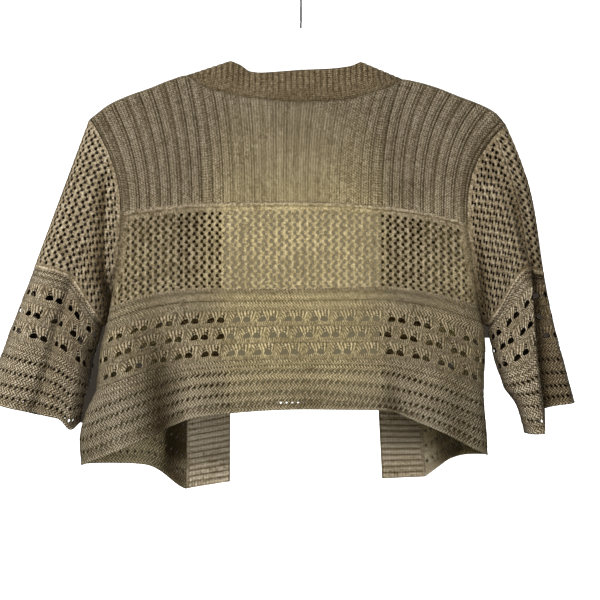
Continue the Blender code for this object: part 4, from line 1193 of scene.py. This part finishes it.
def knit_material(name, see_through, painted_gain):
    """Heathered knit. The chart gives its stitches; the relief paints shade in its hollows and light on its
    crests, and the tone attribute its painted shade and light in folds, seams and insides.
    """
    # The gain paints one copy of the knit lighter than another
    low, high = painted_gain * STRAND_LOW, painted_gain * STRAND_HIGH
    material, tree, shader = new_material(name)
    link = tree.links.new

    def calc(operation, *values):
        made = node(tree, "ShaderNodeMath", operation=operation)
        for socket, value in zip(made.inputs, values):
            if isinstance(value, (int, float)):
                socket.default_value = value
            else:
                link(value, socket)
        return made.outputs[0]

    def spread(value, low, high, to_low, to_high):
        made = node(tree, "ShaderNodeMapRange")
        sockets = ("From Min", "From Max", "To Min", "To Max")
        for socket, number in zip(sockets, (low, high, to_low, to_high)):
            made.inputs[socket].default_value = number
        link(value, made.inputs["Value"])
        return made.outputs["Result"]

    place = node(tree, "ShaderNodeTexCoord")
    split = node(tree, "ShaderNodeSeparateXYZ")
    link(place.outputs["Object"], split.inputs[0])
    height_of_part = split.outputs["Z"]
    stitch = node(tree, "ShaderNodeAttribute", attribute_name="stitch")
    parts = node(tree, "ShaderNodeSeparateXYZ")
    link(stitch.outputs["Vector"], parts.inputs[0])
    across, down, relief = parts.outputs
    kind = node(tree, "ShaderNodeAttribute", attribute_name="kind").outputs["Fac"]
    painted_tone = node(tree, "ShaderNodeAttribute", attribute_name="painted_tone").outputs["Fac"]
    heather, patch, fuzz = (add_noise(tree, scale, 2.0) for scale in (HEATHER, PATCH, FUZZ))
    uneven = calc("SUBTRACT", add_noise(tree, UNEVEN, 1.0), 0.5)

    # Plain knit has two slanting legs a stitch; the border leans one way, then the other
    wale = calc("PINGPONG", calc("DIVIDE", calc("ADD", across, uneven), WALE), 0.5)
    legs = calc("PINGPONG", calc("ADD", calc("DIVIDE", down, COURSE), calc("MULTIPLY", wale, 1.6)), 0.5)
    turn = calc("PINGPONG", calc("DIVIDE", calc("ADD", down, uneven), BONE_DOWN), 0.5)
    lean = calc("MULTIPLY", turn, 2.2)
    bones = calc("PINGPONG", calc("ADD", calc("DIVIDE", across, BONE_ACROSS), lean), 0.5)
    plain = calc("ADD", calc("MULTIPLY", legs, 1.3), calc("MULTIPLY", wale, 0.7))
    choose = node(tree, "ShaderNodeMix", data_type="FLOAT")
    link(kind, choose.inputs["Factor"])
    link(plain, choose.inputs["A"])
    link(calc("ADD", calc("MULTIPLY", bones, 2.8), -0.2), choose.inputs["B"])
    strand = choose.outputs["Result"]

    # Painted shade and light: darker in the relief's hollows, lighter on its crests, times the painted tone
    level = calc("MULTIPLY", spread(relief, -0.55, 0.75, 0.3, 1.12), painted_tone)
    level = calc("MULTIPLY", level, spread(strand, 0.1, 0.9, low, high))
    level = calc("MULTIPLY", level, spread(heather, 0.33, 0.67, 0.62, 1.38))
    level = calc("MULTIPLY", level, spread(patch, 0.3, 0.7, 0.92, 1.08))
    scale = calc("MULTIPLY", level, 0.5)
    link(add_ramp(tree, scale, KNIT_COLOURS), shader.inputs["Base Color"])
    shader.inputs["Roughness"].default_value = 0.9
    shader.inputs["Specular IOR Level"].default_value = 0.1
    shader.inputs["Sheen Weight"].default_value = 0.04
    shader.inputs["Sheen Roughness"].default_value = 0.5

    add_bump(tree, shader, calc("ADD", strand, calc("MULTIPLY", fuzz, 0.6)), 0.8, 0.0006)
    # Some light passes through the single layer between the fronts. The factor thin is a painted mask by
    # height, not the cloth's thickness: it makes that glow weaker at the yoke and at the hem.
    glow = node(tree, "ShaderNodeBsdfTranslucent")
    thin = calc("MULTIPLY", spread(height_of_part, -0.24, -0.12, 1.0, GLOW_HIGH),
                spread(height_of_part, -0.42, -0.36, GLOW_LOW, 1.0))
    tint = node(tree, "ShaderNodeVectorMath", operation="SCALE")
    tint.inputs[0].default_value = (1.0, 0.9, 0.58)
    link(calc("MULTIPLY", spread(scale, 0.1, 0.8, 0.12, 1.0), thin), tint.inputs["Scale"])
    link(tint.outputs[0], glow.inputs["Color"])
    both = node(tree, "ShaderNodeMixShader")
    both.inputs[0].default_value = see_through
    link(shader.outputs[0], both.inputs[1])
    link(glow.outputs[0], both.inputs[2])
    link(both.outputs[0], tree.nodes["Material Output"].inputs["Surface"])
    return material


def smooth_material(name, colour, roughness, metallic, grain):
    material, tree, shader = new_material(name)
    shader.inputs["Metallic"].default_value = metallic
    noise = add_noise(tree, grain)
    stops = ((0.0, [c * 0.7 for c in colour]), (1.0, [min(1, c * 1.4) for c in colour]))
    tree.links.new(add_ramp(tree, noise, stops), shader.inputs["Base Color"])
    rough = node(tree, "ShaderNodeMapRange")
    rough.inputs["To Min"].default_value = roughness - 0.08
    rough.inputs["To Max"].default_value = roughness + 0.1
    tree.links.new(noise, rough.inputs["Value"])
    tree.links.new(rough.outputs["Result"], shader.inputs["Roughness"])
    add_bump(tree, shader, noise, 0.15, 0.0003)
    return material


STEM_WHITE_BELOW = -0.0345     # m; the photo shows no stem from here to the collar


def hook_material():
    """Black wire; below the photo's frame of the hook it is white, so that it doesn't show there."""
    material, tree, shader = new_material("hook_wire")
    place = node(tree, "ShaderNodeTexCoord")
    parts = node(tree, "ShaderNodeSeparateXYZ")
    tree.links.new(place.outputs["Object"], parts.inputs[0])
    noise = add_noise(tree, 500.0)
    black = add_ramp(tree, noise, ((0.0, (0.012, 0.012, 0.012)), (1.0, (0.04, 0.038, 0.036))))
    above = node(tree, "ShaderNodeMath", operation="GREATER_THAN")
    tree.links.new(parts.outputs["Z"], above.inputs[0])
    above.inputs[1].default_value = STEM_WHITE_BELOW
    paint = node(tree, "ShaderNodeMix", data_type="RGBA")
    paint.inputs["A"].default_value = (0.95, 0.95, 0.94, 1)
    tree.links.new(above.outputs[0], paint.inputs["Factor"])
    tree.links.new(black, paint.inputs["B"])
    tree.links.new(paint.outputs["Result"], shader.inputs["Base Color"])
    shader.inputs["Roughness"].default_value = 0.4
    add_bump(tree, shader, noise, 0.1, 0.0002)
    return material


def dress(name, material):
    cad = frame["nodes"][name]
    for slot in cad.material_slots:
        slot.material = material
    if not cad.material_slots:
        cad.data.materials.append(material)


# ---------------------------------------------------------------- surroundings

STAGE_LIGHT, AMBIENT, BACKGROUND = 5.0, 0.1, 0.9
FLOOR_Z, FLOOR_FRONT, FLOOR_BACK, CURVE, WALL_TOP, STAGE_HALF = -1.1, -3.4, 2.1, 1.3, 3.2, 3.5
LIGHTS = (   # name, place, what it looks at, size, watts
    ("key", (-1.3, -1.9, 1.4), (0, 0, -0.3), (0.8, 0.8), 112),
    ("fill", (1.3, -2.4, 0.1), (0, 0, -0.3), (1.6, 1.6), 30),
    ("behind", (0.0, 2.3, -0.2), (0, 0, -0.25), (0.15, 0.15), 36),
    ("front_key", (1.4, 2.2, 1.0), (0, 0, -0.3), (1.2, 1.2), 55),
)
# The dark one is a painted shadow; the tan and olive ones are tones whose cause isn't known
SHADE_TAN, SHADE_OLIVE, PAINTED_SHADOW = (0.128, 0.105, 0.06), (0.09, 0.073, 0.038), (0.012, 0.008, 0.003)


def add_surface(name, paint, vertices, faces, colour, roughness):
    """A plain surface that is declared as stage and throws no light on the shrug."""
    mesh = bpy.data.meshes.new(name)
    mesh.from_pydata(vertices, [], faces)
    material, _, shader = new_material(paint)
    shader.inputs["Base Color"].default_value = (*colour, 1)
    shader.inputs["Roughness"].default_value = roughness
    mesh.materials.append(material)
    surface = add_object(name, mesh)
    surface.visible_diffuse = False
    surface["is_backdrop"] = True
    return surface


def add_stage():
    """A pale floor that curves up into a backdrop."""
    profile = [(FLOOR_FRONT, FLOOR_Z), (FLOOR_BACK, FLOOR_Z)]
    profile += [(FLOOR_BACK + CURVE * math.sin(a), FLOOR_Z + CURVE - CURVE * math.cos(a))
                for a in np.linspace(0.1, math.pi / 2, 14)]
    profile += [(FLOOR_BACK + CURVE, WALL_TOP)]
    vertices = [(x, y, z) for x in (-STAGE_HALF, STAGE_HALF) for y, z in profile]
    n = len(profile)
    faces = [(i, i + 1, n + i + 1, n + i) for i in range(n - 1)]
    stage = add_surface("stage", "stage_white", vertices, faces, (0.93, 0.93, 0.92), 0.9)
    stage.data.shade_smooth()
    stage.visible_glossy = False
    return stage


# Stage only, and lined up for the photo's camera alone: flat patches with the tones that the photo has in its
# lace holes. The tan and olive ones have a cause that isn't known; the two dark ones are painted shadow for
# the shaded inside of the fronts and sleeves. The exported model has none of them, and from other angles the
# lace shows white. Each outline, in the photo's pixels, lies inside the shrug's own.
SHADES = (
    ("backdrop_tan", SHADE_TAN, ((224, 80), (384, 80), (384, 300), (224, 300))),
    ("backdrop_olive", SHADE_OLIVE, (
        (224, 300), (384, 300), (384, 408), (306, 408), (303, 402), (277, 402), (274, 408), (224, 408))),
    ("backdrop_painted_shadow_left", PAINTED_SHADOW, (
        (224, 80), (224, 470), (188, 478), (172, 467), (164, 461), (150, 458), (124, 456), (86, 457),
        (84, 424), (76, 420), (56, 412), (6, 396), (4, 362), (20, 315), (42, 253), (61, 205), (81, 147),
        (94, 120), (150, 90))),
    ("backdrop_painted_shadow_right", PAINTED_SHADOW, (
        (384, 80), (384, 473), (428, 472), (438, 460), (454, 454), (484, 450), (483, 400), (481, 338),
        (496, 338), (499, 366), (521, 408), (528, 427), (540, 427), (543, 404), (571, 399), (564, 363),
        (552, 318), (546, 285), (538, 240), (528, 190), (521, 168), (503, 128), (440, 95))),
)
CAMERA = (-0.001, -1.520, -0.312)
BACKDROP_Y = 2.45
PHOTO_MIDDLE, PHOTO_REACH = 300, 1.5     # px; and how far before the camera 1 px is 1 mm


def add_shades():
    """The patches, far behind the shrug, which hides them at the photo's angle but for its holes."""
    reach = BACKDROP_Y - CAMERA[1]
    for name, colour, outline in SHADES:
        vertices = [(CAMERA[0] + (u - PHOTO_MIDDLE) * MM * reach / PHOTO_REACH, BACKDROP_Y,
                     CAMERA[2] - (v - PHOTO_MIDDLE) * MM * reach / PHOTO_REACH) for u, v in outline]
        yield add_surface(name, name, vertices, [tuple(range(len(vertices)))], colour, 0.95)


def add_stage_light(name, turn, lit):
    """Lights the floor or the backdrop evenly and casts no shadow on it."""
    lamp = bpy.data.lights.new(name, "SUN")
    lamp.energy = STAGE_LIGHT
    lamp.use_shadow = False
    holder = add_object(name, lamp)
    holder.rotation_euler = (turn, 0, 0)
    holder.light_linking.receiver_collection = lit


def add_world():
    """Dim soft light all round; where nothing stands before it, the camera sees near-white instead."""
    sky = bpy.data.worlds.new("world")
    sky.use_nodes = True
    tree = sky.node_tree
    glow, seen = tree.nodes["Background"], node(tree, "ShaderNodeBackground")
    for background, strength in ((glow, AMBIENT), (seen, BACKGROUND)):
        background.inputs["Color"].default_value = (1, 1, 1, 1)
        background.inputs["Strength"].default_value = strength
    path = node(tree, "ShaderNodeLightPath")
    both = node(tree, "ShaderNodeMixShader")
    tree.links.new(path.outputs["Is Camera Ray"], both.inputs[0])
    tree.links.new(glow.outputs[0], both.inputs[1])
    tree.links.new(seen.outputs[0], both.inputs[2])
    tree.links.new(both.outputs[0], tree.nodes["World Output"].inputs["Surface"])
    bpy.context.scene.world = sky


def add_area(name, place, target, size, power, lit):
    lamp = bpy.data.lights.new(name, "AREA")
    lamp.shape = "RECTANGLE"
    lamp.size, lamp.size_y = size
    lamp.energy = power
    holder = add_object(name, lamp)
    holder.location = place
    holder.rotation_euler = (Vector(target) - Vector(place)).to_track_quat("-Z", "Y").to_euler()
    holder.light_linking.receiver_collection = lit
    holder.visible_camera = False


def add_camera():
    lens = bpy.data.cameras.new("camera")
    lens.lens, lens.sensor_width = 90.0, 36.0
    camera = add_object("camera", lens)
    camera.location = CAMERA
    camera.rotation_euler = (math.pi / 2, 0, 0)
    bpy.context.scene.camera = camera


def main():
    # Lit and shaded copies of one knit: the gain paints the back lightest, and see_through is each copy's
    # share of translucent glow, which the sleeves and the band get none of
    knit = knit_material("knit", 0.5, 1.2)
    sleeve_no_glow = knit_material("lined_knit", 0.0, 1.05)
    fronts = knit_material("front_knit", 0.4, 1.05)
    rib = knit_material("rib_knit", 0.0, 1.0)
    made = []    # shell, material, slot, the node it replaces
    panels = (
        ("back", back_row, -1, RIB_REPEATS_BACK, 0.14, BACK_CELLS, 0, 9.0, 9.0),
        ("front_left", partial(front_row, "left"), 1, 9.0, 0.0, FRONT_CELLS, 1, 9.0, -5.0),
        ("front_right", partial(front_row, "right"), 1, 8.0, 0.0, FRONT_CELLS, 1, 9.0, -5.0),
    )
    for name, reader, facing, ribs, phase, cells, leaf_phase, left, right in panels:
        shells = body_shells(name + "_knit", reader, facing, ribs, phase, cells, leaf_phase, left, right)
        made += [(shell, knit if name == "back" else fronts, "knit", name) for shell in shells]
    for side in ("left", "right"):
        for face in ("back", "front"):
            made.append((sleeve_shell(side, face), sleeve_no_glow, "knit", "sleeve_" + side + "_" + face))
    made.append((band_shell(), rib, "rib_knit", "band"))
    for shell, material, slot, solid in made:
        shell.build(material, slot)
        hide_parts(solid)

    dress("hanger", smooth_material("hanger_plastic", (0.02, 0.02, 0.02), 0.5, 0.0, 300.0))
    dress("hook", hook_material())

    sheets = [("back_knit", (0.40, 0.215), "hanger"), ("back_knit_lace", (0.40, 0.07), "back_knit"),
              ("back_knit_border", (0.41, 0.055), "back_knit_lace"), ("band_knit", (0.045, 1.04), "hanger")]
    for side in ("left", "right"):
        front = "front_" + side + "_knit"
        sheets += [(front, (0.09 if side == "left" else 0.085, 0.225), "hanger"),
                   (front + "_lace", (0.1, 0.075), front), (front + "_border", (0.1, 0.075), front + "_lace")]
        for face in ("back", "front"):
            sheets.append(("sleeve_" + side + "_" + face + "_knit", (0.11, 0.27), "hanger"))

    stage = bpy.data.collections.new("lit_stage")
    for surface in (add_stage(), *add_shades()):
        stage.objects.link(surface)
    add_camera()
    shown = bpy.data.collections.new("lit_shrug")
    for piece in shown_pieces():
        shown.objects.link(piece)
    for light in LIGHTS:
        add_area(*light, shown)
    add_stage_light("floor_light", 0.0, stage)
    add_stage_light("wall_light", math.pi / 2, stage)
    add_world()
    bpy.context.scene.view_settings.view_transform = "Standard"


main()
